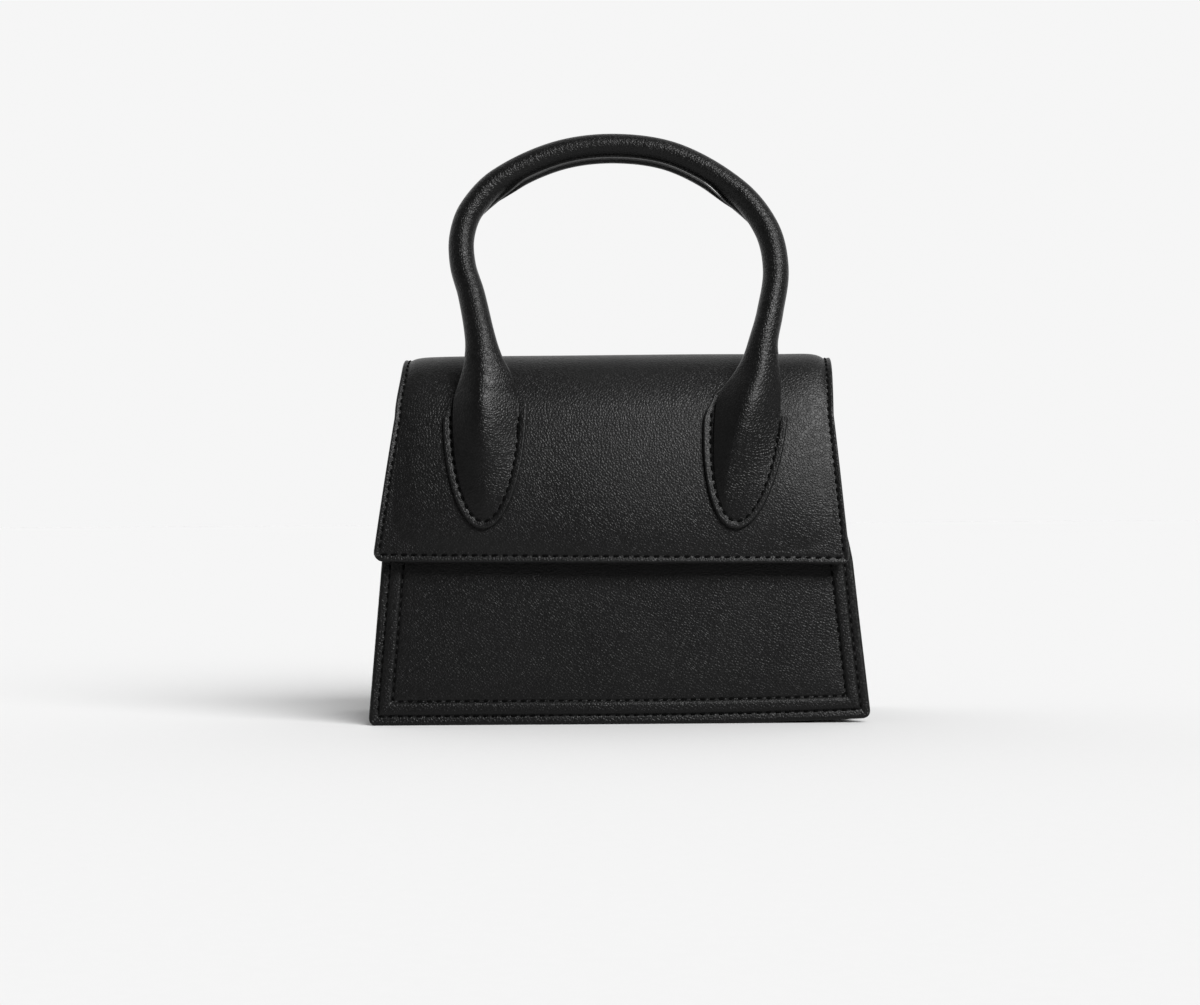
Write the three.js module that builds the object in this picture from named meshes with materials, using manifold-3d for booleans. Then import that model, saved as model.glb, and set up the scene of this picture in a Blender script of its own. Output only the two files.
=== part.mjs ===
// Mini top-handle bag in smooth black leather: a tapered box body with turned-out seams, a flap that is
// sewn to the back and folds over the mouth to the front, and one rolled handle sewn to the flap.
// Millimetres, +Z up. The front of the bag faces -Y.
// The origin lies on the floor under the middle of the whole bag, handle included.

import * as THREE from "three";
import { mergeVertices } from "three/addons/utils/BufferGeometryUtils.js";
import Module from "manifold-3d";

const wasm = await Module();
wasm.setup();

const { lerp, clamp, smoothstep, degToRad } = THREE.MathUtils;

// Driving dimensions of the body
const BASE_WIDTH = 181.6;
const TOP_WIDTH = 160.3;
const BASE_DEPTH = 74;
const TOP_DEPTH = 46.9; // where the straight slopes of the panels would meet the mouth
const BODY_HEIGHT = 122;
const BODY_SETBACK = 1.47; // the handle's ends reach forward, so the body stands behind the origin
const BODY_SWAY = -0.9; // the mouth sits slightly to the left of the base
const PANEL_WALL = 2.4;
const PANEL_CORNER = 3;
const PANEL_BOW = 1.2; // how far the middle of a panel swells outward
const MOUTH_CURVE = 7.2; // how far the top of a panel curves in under the flap
const MOUTH_CURVE_START = 96;
const CORNER_CURL = 1.8; // lift of the front panel's lower right corner
const CURL_WIDTH = 90;
const CURL_HEIGHT = 36;
const GAP = 0.3; // clearance between pieces that are sewn to each other

// Driving dimensions of the gussets and the base
const GUSSET_WALL = 1.4;
const SEAM_FLANGE = 5; // width of the turned-out seam around the body
const SEAM_INSET = 0.8; // the flange stops this far inside the panel's edge
const GUSSET_TOP = 117;
const GUSSET_DIP = 13; // the gusset's top edge sinks towards its fold
const FOLD_AT_BASE = 1;
const FOLD_AT_TOP = 10;
const FLANGE_TURN = 1.2; // bevel where the flange turns into the wall
const BASE_WALL = 1.6;
const BASE_RISE = 4.8; // the base hangs between the seams, clear of the floor
const BASE_EDGE = 2.6; // height of its turned-down edges above the floor

// Driving dimensions of the flap. From its hem it leans back more and more, and rolls over the mouth.
const FLAP_WALL = 2.6;
const FLAP_STANDOFF = 4.6; // from the front panel to the flap's inner face, at the hem
const FLAP_TOP = 134.6; // height of the flap's outer face
const FLAP_HEM = 58.4; // height of the flap's lower edge in front
const FLAP_BACK_HEM = 92;
const FLAP_HEM_WIDTH = 172.5;
const FLAP_TOP_WIDTH = 160.6;
const FLAP_NARROW = 112; // the sides run parallel above this height
const HEM_LEAN = degToRad(5); // leans are measured from the vertical
const SHOULDER_LEAN = degToRad(18.5);
const BROW_LEAN = degToRad(41);
const SHOULDER_RADIUS = 50;
const BROW_RADIUS = 20;
const RIDGE_SLOPE = 0.03; // the front falls away to both sides of a soft ridge down its middle
const RIDGE_WIDTH = 12;
const FLAP_TWIST = 0.8; // the hem stands further off the panel on the right
const SWELL_TOP = 124; // ridge and twist end at this height
const FLAP_CORNER = 4;
const FLAP_SWAY = -2.9; // the flap closes slightly to the left
const FLAP_SWAY_END = 95; // distance from the hem where it is straight again
const FLAP_HEM_TILT = degToRad(0.8); // lower on the right

// Driving dimensions of the handle
const TAB_LENGTH = 44;
const TAB_WIDTH = 30.4;
const TAB_WALL = 1.6;
const TAB_MARGIN = 2.8; // flat leather outside the stitch row
const DOME_TIP = 0.5; // height of the padded end at its tip, before and behind its centre line
const DOME_START = 0.1; // it swells from this share of its length
const DOME_FRONT = 6.5; // height in front where it becomes the grip
const DOME_BACK = 2.5;
const DOME_SWELL = 2; // front of a section: 2 is a parabola and 1 an ellipse
const ROD_SWELL = 1;
const DOME_SQUARE = 6; // back of a section: 2 is an ellipse, and more is boxy
const ROD_SQUARE = 2;
const ROD_DEPTH = 5; // half the depth of the round grip
const NECK_START = 110;
const NECK_TOP = 140; // above this height the grip is round
const HANDLE_LEAN = degToRad(17); // the grip goes straight on from where the flap leans this much
const FIN_REACH = 1.7; // the seam stands out of the grip by this much
const FIN_SINK = 0.3; // and sinks into it at both ends
const FIN_WALL = 1.8;
const FIN_START = 128;
const FIN_FULL = 142;
const FIN_ROOT = 0.6; // the seam starts inside the grip, at this share of its half width
const FIN_UNDER = 36; // the seam lies on the underside of the arch this far from the middle
const FIN_BEHIND = 58; // and behind the legs from here

// Driving dimensions of the hidden magnetic snap
const SNAP_RADIUS = 7;
const SNAP_HEIGHT = 78;
const SNAP_CHAMFER = 0.4;
const SNAP_SIDES = 24;

// Relief of each leather edge: distance from the edge and height above the plain face
const FRONT_BORDER = [
  { fromEdge: 0, rise: -0.6 },
  { fromEdge: 0.8, rise: 0 },
  { fromEdge: 3.2, rise: -0.5 }, // outer stitch row
  { fromEdge: 4.4, rise: 0.5 },
  { fromEdge: 5.8, rise: 0.8 }, // crest of the padded welt
  { fromEdge: 7.2, rise: 0.5 },
  { fromEdge: 8.4, rise: -0.6 }, // inner stitch row
  { fromEdge: 11, rise: 0.2 },
];
const BACK_BORDER = [
  { fromEdge: 0, rise: -0.6 },
  { fromEdge: 0.8, rise: 0 },
  { fromEdge: 3.2, rise: -0.45 }, // stitch row
  { fromEdge: 5.6, rise: 0.1 },
];
const FLAP_BORDER = [
  { fromEdge: 0, rise: -0.8 },
  { fromEdge: 0.6, rise: -0.45 },
  { fromEdge: 1.9, rise: -0.75 }, // stitch row
  { fromEdge: 4.5, rise: -0.35 },
  { fromEdge: 9, rise: 0.1 },
  { fromEdge: 16, rise: 0.5 }, // the field is padded
  { fromEdge: 28, rise: 0.9 },
];
const HEM_BORDER = 9; // the rows of facets along a hem follow the relief this far

// The two sewn ends of the handle: place of the tip, and how far the axis leans over at the top
const TABS = [
  { name: "left", x: -48.9, z: 70.8, leanOver: 0.4 },
  { name: "right", x: 41.9, z: 70.3, leanOver: 5.2 },
];

// Centre line of the grip seen from the front, from the left tab to the right one
const GRIP = [
  { x: -48.1, z: 117.6, half: 11.4 },
  { x: -48.0, z: 124.6, half: 9.7 },
  { x: -49.0, z: 131.6, half: 7.1 },
  { x: -50.2, z: 139.7, half: 5.6 },
  { x: -53.5, z: 155.6, half: 5.0 },
  { x: -56.8, z: 167.0, half: 4.8 },
  { x: -57.3, z: 177.9, half: 4.7 },
  { x: -53.9, z: 188.3, half: 4.7 },
  { x: -43.6, z: 199.6, half: 4.7 },
  { x: -21.8, z: 210.0, half: 4.7 },
  { x: 0.7, z: 212.7, half: 4.7 },
  { x: 23.1, z: 208.7, half: 4.7 },
  { x: 45.3, z: 194.9, half: 4.7 },
  { x: 56.1, z: 180.0, half: 4.8 },
  { x: 59.0, z: 164.4, half: 4.8 },
  { x: 56.3, z: 147.9, half: 4.9 },
  { x: 53.7, z: 137.6, half: 5.4 },
  { x: 52.6, z: 130.6, half: 6.8 },
  { x: 51.1, z: 123.6, half: 9.0 },
  { x: 48.6, z: 115.5, half: 11.6 },
];

// Fineness of the facets
const PANEL_COLUMNS = 8;
const PANEL_ROWS = 13;
const FLAP_COLUMNS = 8;
const FLAP_STEPS = [6, 4, 5, 8, 1]; // front slope, shoulder, brow, roll to the back and back slope
const GUSSET_ROWS = 13;
const TAB_RINGS = 9;
const GRIP_RINGS = 64;
const RING_SIDES = 16;
const TAB_ROWS = 9;
const TAB_COLUMNS = 6;

// Shape of the tapered body

const taper = (z) => z / BODY_HEIGHT;
const halfWidth = (z) => lerp(BASE_WIDTH, TOP_WIDTH, taper(z)) / 2;
const slopeDepth = (z) => lerp(BASE_DEPTH, TOP_DEPTH, taper(z)) / 2;
const sway = (z) => BODY_SWAY * taper(z);
const LEAN = (BASE_DEPTH - TOP_DEPTH) / 2 / BODY_HEIGHT;

// Half the depth of the body: straight slopes that curve in towards the mouth
function halfDepth(z) {
  const upper = clamp((z - MOUTH_CURVE_START) / (BODY_HEIGHT - MOUTH_CURVE_START), 0, 1);
  return slopeDepth(z) - MOUTH_CURVE * upper ** 2;
}

// Outward swell of the front and back panels
function bow(x, z) {
  const across = clamp(1 - (x / halfWidth(z)) ** 2, 0, 1);
  return PANEL_BOW * across * Math.sin(Math.PI * clamp(taper(z), 0, 1));
}

// Height of an edge's relief at a distance from that edge
function riseAt(border, distance) {
  const next = border.findIndex((row) => row.fromEdge >= distance);
  if (next === 0) return border[0].rise;
  if (next < 0) return border.at(-1).rise;
  const [a, b] = [border[next - 1], border[next]];
  return lerp(a.rise, b.rise, (distance - a.fromEdge) / (b.fromEdge - a.fromEdge));
}

// Rounds a square corner: two distances from the edges come back on circles about the corner's centre
function roundCorner(fromSide, fromEnd, radius) {
  const a = 1 - fromSide / radius;
  const b = 1 - fromEnd / radius;
  if (a <= 0 || b <= 0) return [fromSide, fromEnd];
  const pull = Math.max(a, b) / Math.hypot(a, b);
  return [radius * (1 - a * pull), radius * (1 - b * pull)];
}

// Stations across a face: 0 to 1 is the plain field and 1 to 2 the border, mirrored for the other side
const borderWidth = (border) => border.at(-1).fromEdge;
const borderStations = (border) => border.map((row) => 2 - row.fromEdge / borderWidth(border)).reverse();
const fromEdgeAt = (station, border, half) =>
  station > 1 ? (2 - station) * borderWidth(border) : half - station * (half - borderWidth(border));

function stationsAcross(border, columns) {
  const field = [];
  for (let i = 1; i < columns; i++) field.push((2 * i) / columns - 1);
  const edge = borderStations(border);
  return [...edge.map((s) => -s).reverse(), ...field, ...edge];
}

// Solids from faces, sections and outlines

function geometryOf(positions, index) {
  const geometry = new THREE.BufferGeometry();
  geometry.setAttribute("position", new THREE.Float32BufferAttribute(positions, 3));
  geometry.setIndex(index);
  return geometry;
}

// A closed wall between two faces on one grid. The outer face looks along du x dv.
function wall(us, vs, outer, inner) {
  const [nu, nv] = [us.length, vs.length];
  const positions = [];
  for (const face of [outer, inner]) {
    for (const v of vs) {
      for (const u of us) positions.push(...face(u, v));
    }
  }
  const index = [];
  const quad = (a, b, c, d) => index.push(a, b, c, a, c, d);
  const front = (i, j) => j * nu + i;
  const back = (i, j) => nu * nv + front(i, j);
  for (let j = 0; j + 1 < nv; j++) {
    for (let i = 0; i + 1 < nu; i++) {
      quad(front(i, j), front(i + 1, j), front(i + 1, j + 1), front(i, j + 1));
      quad(back(i, j), back(i, j + 1), back(i + 1, j + 1), back(i + 1, j));
    }
  }
  for (let i = 0; i + 1 < nu; i++) {
    quad(front(i + 1, 0), front(i, 0), back(i, 0), back(i + 1, 0));
    quad(front(i, nv - 1), front(i + 1, nv - 1), back(i + 1, nv - 1), back(i, nv - 1));
  }
  for (let j = 0; j + 1 < nv; j++) {
    quad(front(0, j), front(0, j + 1), back(0, j + 1), back(0, j));
    quad(front(nu - 1, j + 1), front(nu - 1, j), back(nu - 1, j), back(nu - 1, j + 1));
  }
  return geometryOf(positions, index);
}

// A closed skin over rings of equal length, with a flat cap at each end
function loft(rings) {
  const sides = rings[0].length;
  const positions = rings.flat().flatMap((p) => p.toArray());
  const index = [];
  for (let j = 0; j + 1 < rings.length; j++) {
    for (let i = 0; i < sides; i++) {
      const [a, b] = [j * sides + i, j * sides + ((i + 1) % sides)];
      index.push(a, b, b + sides, a, b + sides, a + sides);
    }
  }
  const last = (rings.length - 1) * sides;
  for (let i = 1; i + 1 < sides; i++) {
    index.push(0, i + 1, i, last, last + i, last + i + 1);
  }
  return geometryOf(positions, index);
}

// An outline in Y and Z, extruded along X
function prism(outline, fromX, toX) {
  const shape = new THREE.Shape(outline.map(([y, z]) => new THREE.Vector2(y, z)));
  const geometry = new THREE.ExtrudeGeometry(shape, { depth: toX - fromX, bevelEnabled: false });
  const turn = new THREE.Matrix4().makeBasis(
    new THREE.Vector3(0, 1, 0),
    new THREE.Vector3(0, 0, 1),
    new THREE.Vector3(1, 0, 0),
  );
  return geometry.translate(0, 0, fromX).applyMatrix4(turn);
}

function solidOf(geometry) {
  const bare = geometry.clone();
  bare.deleteAttribute("normal");
  bare.deleteAttribute("uv");
  const merged = mergeVertices(bare, 1e-4);
  const vertProperties = merged.getAttribute("position").array;
  const triVerts = new Uint32Array(merged.index.array);
  return new wasm.Manifold(new wasm.Mesh({ numProp: 3, vertProperties, triVerts }));
}

function join(geometries) {
  const mesh = geometries
    .map(solidOf)
    .reduce((whole, piece) => whole.add(piece))
    .getMesh();
  return geometryOf(mesh.vertProperties, [...mesh.triVerts]);
}

// Front and back panels

// One panel's face. Side is -1 at the front and 1 at the back, and curl lifts the lower corner at +X.
function panelFace(side, border, curl, isOuter) {
  return (u, v) => {
    const end = v < 0 ? (1 + v) * borderWidth(border) : lerp(borderWidth(border), BODY_HEIGHT, v);
    const edge = fromEdgeAt(Math.abs(u), border, halfWidth(end));
    const [fromSide, fromEnd] = roundCorner(edge, end, PANEL_CORNER);
    const z = fromEnd;
    const x = -side * Math.sign(u) * (halfWidth(z) - fromSide);
    const rise = isOuter ? riseAt(border, Math.min(fromSide, fromEnd)) : -PANEL_WALL;
    const y = side * (halfDepth(z) + bow(x, z) + rise);
    const towardsCorner = clamp(1 - (halfWidth(z) - x) / CURL_WIDTH, 0, 1);
    const lift = curl * towardsCorner ** 2 * clamp(1 - z / CURL_HEIGHT, 0, 1);
    return [x + sway(z), BODY_SETBACK + y, z + lift];
  };
}

function panel(side, border, curl) {
  const us = stationsAcross(border, PANEL_COLUMNS);
  const vs = border.map((row) => row.fromEdge / borderWidth(border) - 1);
  for (let j = 1; j <= PANEL_ROWS; j++) vs.push(j / PANEL_ROWS);
  return wall(us, vs, panelFace(side, border, curl, true), panelFace(side, border, curl, false));
}

// Side gussets: flange, wall, inward fold, wall, flange

function gussetLine(z) {
  const edge = halfWidth(z);
  const y = halfDepth(z) - PANEL_WALL - GAP - GUSSET_WALL / 2;
  const fold = lerp(FOLD_AT_BASE, FOLD_AT_TOP, smoothstep(taper(z), 0, 1));
  const root = edge - SEAM_FLANGE;
  const front = [
    [edge - SEAM_INSET, -y],
    [root + FLANGE_TURN, -y],
    [root, -y + FLANGE_TURN],
    [root - 0.3 * fold, -0.6 * y],
    [root - 0.75 * fold, -0.2 * y],
  ];
  const back = front.map(([px, py]) => [px, -py]).reverse();
  return [...front, [root - fold, 0], ...back];
}

// Moves each point of a line off to its left by a distance, with mitred corners
function offsetLine(line, distance) {
  return line.map(([x, y], i) => {
    const before = line[Math.max(i - 1, 0)];
    const after = line[Math.min(i + 1, line.length - 1)];
    const arrive = new THREE.Vector2(x - before[0], y - before[1]).normalize();
    const leave = new THREE.Vector2(after[0] - x, after[1] - y).normalize();
    const along = arrive.clone().add(leave).normalize();
    const ahead = arrive.lengthSq() > 0 ? arrive : leave;
    const reach = distance / Math.max(0.6, along.dot(ahead));
    return [x - along.y * reach, y + along.x * reach];
  });
}

function gusset(side) {
  const count = gussetLine(0).length;
  const us = [...Array(count).keys()];
  const vs = [...Array(GUSSET_ROWS + 1).keys()].map((j) => j / GUSSET_ROWS);
  const middle = (count - 1) / 2;
  const bottom = BASE_RISE + BASE_WALL + GAP;
  const face = (distance) => (i, v) => {
    const dip = GUSSET_DIP * (1 - Math.abs(i - middle) / middle);
    const z = lerp(bottom, GUSSET_TOP - dip, v);
    const [x, y] = offsetLine(gussetLine(z), distance)[i];
    return [side * x + sway(z), BODY_SETBACK + side * y, z];
  };
  return wall(us, vs, face(-GUSSET_WALL / 2), face(GUSSET_WALL / 2));
}

// Base: a web between the seams, with an edge turned down on each of its four sides

function base() {
  const top = BASE_RISE + BASE_WALL;
  const seamY = (z) => halfDepth(z) - PANEL_WALL - GAP;
  const wing = halfWidth(top) - SEAM_INSET;
  const end = halfWidth(top) - SEAM_FLANGE + GUSSET_WALL / 2;
  const flange = (side) => [
    [side * seamY(BASE_EDGE), BASE_EDGE],
    [side * (seamY(BASE_EDGE) - BASE_WALL), BASE_EDGE],
    [side * (seamY(top) - BASE_WALL), top],
    [side * seamY(top), top],
  ];
  const web = (bottom) => [
    [-seamY(bottom) + 0.5 * BASE_WALL, bottom],
    [seamY(bottom) - 0.5 * BASE_WALL, bottom],
    [seamY(top) - 0.5 * BASE_WALL, top],
    [-seamY(top) + 0.5 * BASE_WALL, top],
  ];
  const pieces = [
    prism(flange(-1), -wing, wing),
    prism(flange(1), -wing, wing),
    prism(web(BASE_RISE), -end, end),
    prism(web(BASE_EDGE), -end, -end + BASE_WALL),
    prism(web(BASE_EDGE), end - BASE_WALL, end),
  ];
  return join(pieces).translate(0, BODY_SETBACK, 0);
}

// Flap: one wall along a rolled profile, from the front hem over the mouth to the back hem

const HEM_Y = -halfDepth(FLAP_HEM) - FLAP_STANDOFF - FLAP_WALL / 2;
const FLAP_RIDGE = FLAP_TOP - FLAP_WALL / 2;
const flapBackY = (z) => slopeDepth(z) + GAP + FLAP_WALL / 2 + riseAt(BACK_BORDER, BASE_WIDTH);

// Arcs of the flap's middle line. The front slope takes the height that the rolled part leaves, and the roll
// to the back ends on the back panel's slope.
function flapArcs() {
  const leans = [HEM_LEAN, SHOULDER_LEAN, BROW_LEAN, Math.PI / 2];
  const rise = (i) => Math.sin(leans[i + 1]) - Math.sin(leans[i]);
  const slopeRadius = (FLAP_RIDGE - FLAP_HEM - SHOULDER_RADIUS * rise(1) - BROW_RADIUS * rise(2)) / rise(0);
  const arcs = [slopeRadius, SHOULDER_RADIUS, BROW_RADIUS].map((radius, i) => ({
    radius,
    from: leans[i],
    to: leans[i + 1],
  }));
  const ridgeY = arcs.reduce((y, arc) => y + arc.radius * (Math.cos(arc.from) - Math.cos(arc.to)), HEM_Y);
  const last = Math.PI - Math.atan(LEAN);
  const spread = -Math.cos(last) - LEAN * (1 - Math.sin(last));
  arcs.push({ radius: (flapBackY(FLAP_RIDGE) - ridgeY) / spread, from: Math.PI / 2, to: last });
  return arcs;
}

const FLAP_ARCS = flapArcs();

// The flap's middle line at a distance from its front hem: Y, Z and the lean there
function flapMiddle(distance) {
  let rest = distance;
  let [y, z] = [HEM_Y, FLAP_HEM];
  for (const { radius, from, to } of FLAP_ARCS) {
    const lean = Math.min(from + rest / radius, to);
    y += radius * (Math.cos(from) - Math.cos(lean));
    z += radius * (Math.sin(lean) - Math.sin(from));
    rest -= radius * (to - from);
    if (rest <= 0) return { y, z, lean };
  }
  const lean = FLAP_ARCS.at(-1).to;
  return { y: y + rest * Math.sin(lean), z: z + rest * Math.cos(lean), lean };
}

// Y of the flap's middle line at a height on its front
function flapFrontY(z) {
  let [y, low] = [HEM_Y, FLAP_HEM];
  for (const { radius, from, to } of FLAP_ARCS) {
    const high = low + radius * (Math.sin(to) - Math.sin(from));
    const lean = Math.asin(Math.sin(from) + (Math.min(z, high) - low) / radius);
    y += radius * (Math.cos(from) - Math.cos(lean));
    if (z <= high) break;
    low = high;
  }
  return y;
}

// Distances from the hem where each arc ends, and where the flap ends
const ARC_ENDS = [];
FLAP_ARCS.forEach(({ radius, from, to }) => ARC_ENDS.push((ARC_ENDS.at(-1) ?? 0) + radius * (to - from)));
const ROLL_END = flapMiddle(ARC_ENDS.at(-1));
const FLAP_LENGTH = ARC_ENDS.at(-1) + (FLAP_BACK_HEM - ROLL_END.z) / Math.cos(ROLL_END.lean);

// How far the front stands out beyond its profile
function flapSwell(x, z) {
  const fade = clamp(1 - (z - FLAP_HEM) / (SWELL_TOP - FLAP_HEM), 0, 1);
  const half = flapHalf(z);
  const ridge = RIDGE_SLOPE * (Math.hypot(RIDGE_WIDTH, half) - Math.hypot(RIDGE_WIDTH, x));
  return fade * (ridge + (FLAP_TWIST * x) / half);
}

// Rows along the flap: the front hem's border, steps along each part of the profile, the back hem's border
function flapRows() {
  const border = FLAP_BORDER.map((row) => row.fromEdge).filter((distance) => distance <= HEM_BORDER);
  const breaks = [1.5 * HEM_BORDER, ...ARC_ENDS, FLAP_LENGTH - HEM_BORDER];
  const rows = border.map((distance) => ({ fromHem: distance }));
  rows.push({ along: breaks[0] });
  FLAP_STEPS.forEach((steps, i) => {
    for (let k = 1; k <= steps; k++) rows.push({ along: lerp(breaks[i], breaks[i + 1], k / steps) });
  });
  const backHem = border.slice(0, -1).reverse();
  return [...rows, ...backHem.map((distance) => ({ along: FLAP_LENGTH - distance }))];
}

function flapHalf(z) {
  const up = clamp((z - FLAP_HEM) / (FLAP_NARROW - FLAP_HEM), 0, 1);
  return lerp(FLAP_HEM_WIDTH, FLAP_TOP_WIDTH, up) / 2;
}

function flap() {
  const face = (isOuter) => (u, row) => {
    const hem = (-u / 4) * FLAP_HEM_WIDTH * Math.tan(FLAP_HEM_TILT);
    const flat = row.fromHem ?? row.along - hem;
    const flatEdge = fromEdgeAt(Math.abs(u), FLAP_BORDER, flapHalf(flapMiddle(hem + flat).z));
    const [fromSide, fromHem] = roundCorner(flatEdge, flat, FLAP_CORNER);
    const { y, z, lean } = flapMiddle(hem + fromHem);
    const x = Math.sign(u) * (flapHalf(z) - fromSide);
    const edge = Math.min(fromSide, fromHem, FLAP_LENGTH - hem - fromHem);
    const offset = isOuter ? FLAP_WALL / 2 + riseAt(FLAP_BORDER, edge) : -FLAP_WALL / 2;
    const outward = Math.cos(lean);
    const swell = outward > 0 ? flapSwell(x, z) : bow(x, z);
    const aside = FLAP_SWAY * clamp(1 - fromHem / FLAP_SWAY_END, 0, 1);
    return [
      x + aside,
      BODY_SETBACK + y - outward * offset - outward * swell,
      z + Math.sin(lean) * offset,
    ];
  };
  const us = stationsAcross(FLAP_BORDER, FLAP_COLUMNS);
  return wall(us, flapRows(), face(true), face(false));
}

// Handle: a round grip whose ends flatten into domed tabs with a flat margin, and a seam that stands out

const HANDLE_NORMAL = new THREE.Vector3(0, -Math.cos(HANDLE_LEAN), Math.sin(HANDLE_LEAN));
const GRIP_LEAVES = FLAP_HEM + FLAP_ARCS[0].radius * (Math.sin(HANDLE_LEAN) - Math.sin(HEM_LEAN));

// A point above the flap's front. The margins follow the flap, and the grip goes straight on where it leaves.
function aboveFace(x, z, height, isGrip) {
  const low = isGrip ? Math.min(z, GRIP_LEAVES) : z;
  const edge = Math.min(flapHalf(z) - Math.abs(x), z - FLAP_HEM);
  const thick = FLAP_WALL / 2 + riseAt(FLAP_BORDER, edge) + GAP;
  const middle = flapFrontY(low) + (z - low) * Math.tan(HANDLE_LEAN);
  const y = BODY_SETBACK + middle - thick / Math.cos(HANDLE_LEAN) - flapSwell(x, z);
  return new THREE.Vector3(x, y, z).addScaledVector(HANDLE_NORMAL, height);
}

// Sections of one tab inside its stitch row, from the tip up: half an ellipse seen from the front
function tabKnots(tab) {
  const half = TAB_WIDTH / 2 - TAB_MARGIN;
  const length = TAB_LENGTH - TAB_MARGIN;
  const knots = [];
  for (let k = 1; k <= TAB_RINGS; k++) {
    const angle = (k / TAB_RINGS) * (Math.PI / 2);
    const along = 1 - Math.cos(angle);
    knots.push({
      x: tab.x + tab.leanOver * along,
      z: tab.z + TAB_MARGIN + length * along,
      half: half * Math.sin(angle),
      front: lerp(DOME_TIP, DOME_FRONT, smoothstep(along, DOME_START, 1)),
      back: lerp(DOME_TIP, DOME_BACK, along),
      sunk: TAB_WALL / 2,
      swell: DOME_SWELL,
      square: DOME_SQUARE,
    });
  }
  return knots;
}

// Sections of the grip: the flat-backed dome turns into a round rod over the height of the neck
function gripKnots() {
  return GRIP.map(({ x, z, half }) => {
    const round = smoothstep(z, NECK_START, NECK_TOP);
    const rod = Math.min(half, ROD_DEPTH);
    return {
      x,
      z,
      half,
      front: lerp(DOME_FRONT, rod, round),
      back: lerp(DOME_BACK, rod, round),
      sunk: lerp(TAB_WALL / 2, 0, round),
      swell: lerp(DOME_SWELL, ROD_SWELL, round),
      square: lerp(DOME_SQUARE, ROD_SQUARE, round),
    };
  });
}

// Interpolates every column of the knots by the distance along the centre line
function handleTrack() {
  const knots = [...tabKnots(TABS[0]), ...gripKnots(), ...tabKnots(TABS[1]).reverse()];
  const at = [0];
  for (let i = 1; i < knots.length; i++) {
    at.push(at[i - 1] + Math.hypot(knots[i].x - knots[i - 1].x, knots[i].z - knots[i - 1].z));
  }
  const slope = (i, key) => {
    const [a, b] = [Math.max(i - 1, 0), Math.min(i + 1, knots.length - 1)];
    return (knots[b][key] - knots[a][key]) / (at[b] - at[a]);
  };
  const value = (key, s) => {
    const found = at.findIndex((d) => d >= s);
    const j = clamp(found < 0 ? knots.length - 1 : found, 1, knots.length - 1);
    const span = at[j] - at[j - 1];
    const t = clamp((s - at[j - 1]) / span, 0, 1);
    const [p, q] = [knots[j - 1][key], knots[j][key]];
    const [m, n] = [slope(j - 1, key) * span, slope(j, key) * span];
    return p + t * m + t * t * (3 * (q - p) - 2 * m - n) + t ** 3 * (2 * (p - q) + m + n);
  };
  return { at, value };
}

// Places along the handle where it gets a ring: every knot of the tabs, and even steps along the grip
function ringPlaces({ at }) {
  const first = at[TAB_RINGS - 1];
  const last = at[at.length - TAB_RINGS];
  const places = at.slice(0, TAB_RINGS);
  for (let k = 1; k < GRIP_RINGS; k++) places.push(lerp(first, last, k / GRIP_RINGS));
  return [...places, ...at.slice(-TAB_RINGS)];
}

function handleFrame(track, s) {
  const centre = (place) => {
    const [x, z, back, sunk] = ["x", "z", "back", "sunk"].map((key) => track.value(key, place));
    return aboveFace(x, z, back + sunk, true);
  };
  const step = 0.2;
  const along = centre(s + step).sub(centre(s - step)).normalize();
  const inward = along.clone().cross(HANDLE_NORMAL).normalize();
  const forward = inward.clone().cross(along);
  return { centre: centre(s), inward, forward };
}

const signedPower = (value, exponent) => Math.sign(value) * Math.abs(value) ** exponent;

function gripRing(track, s) {
  const { centre, inward, forward } = handleFrame(track, s);
  const column = (key) => track.value(key, s);
  const ring = [];
  for (let k = 0; k < RING_SIDES; k++) {
    const angle = (k / RING_SIDES) * 2 * Math.PI;
    const inFront = Math.sin(angle) > 0;
    const boxy = 2 / column("square");
    const across = column("half") * signedPower(Math.cos(angle), inFront ? 1 : boxy);
    const height = column(inFront ? "front" : "back");
    const out = height * signedPower(Math.sin(angle), inFront ? column("swell") : boxy);
    ring.push(centre.clone().addScaledVector(inward, -across).addScaledVector(forward, out));
  }
  return ring;
}

// The seam lies behind the legs and turns to the underside of the arch
function finRing(track, s) {
  const { centre, inward, forward } = handleFrame(track, s);
  const [x, z, half] = ["x", "z", "half"].map((key) => track.value(key, s));
  const behind = degToRad(lerp(2, 90, smoothstep(Math.abs(x), FIN_UNDER, FIN_BEHIND)));
  const outward = inward.clone().multiplyScalar(Math.cos(behind)).addScaledVector(forward, -Math.sin(behind));
  const sideways = inward.clone().multiplyScalar(Math.sin(behind)).addScaledVector(forward, Math.cos(behind));
  const reach = half + lerp(-FIN_SINK, FIN_REACH, smoothstep(z, FIN_START, FIN_FULL));
  const corners = [
    [FIN_ROOT * half, -1],
    [FIN_ROOT * half, 1],
    [reach, 1],
    [reach, -1],
  ];
  return corners.map(([out, side]) =>
    centre.clone().addScaledVector(outward, out).addScaledVector(sideways, (side * FIN_WALL) / 2),
  );
}

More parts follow.
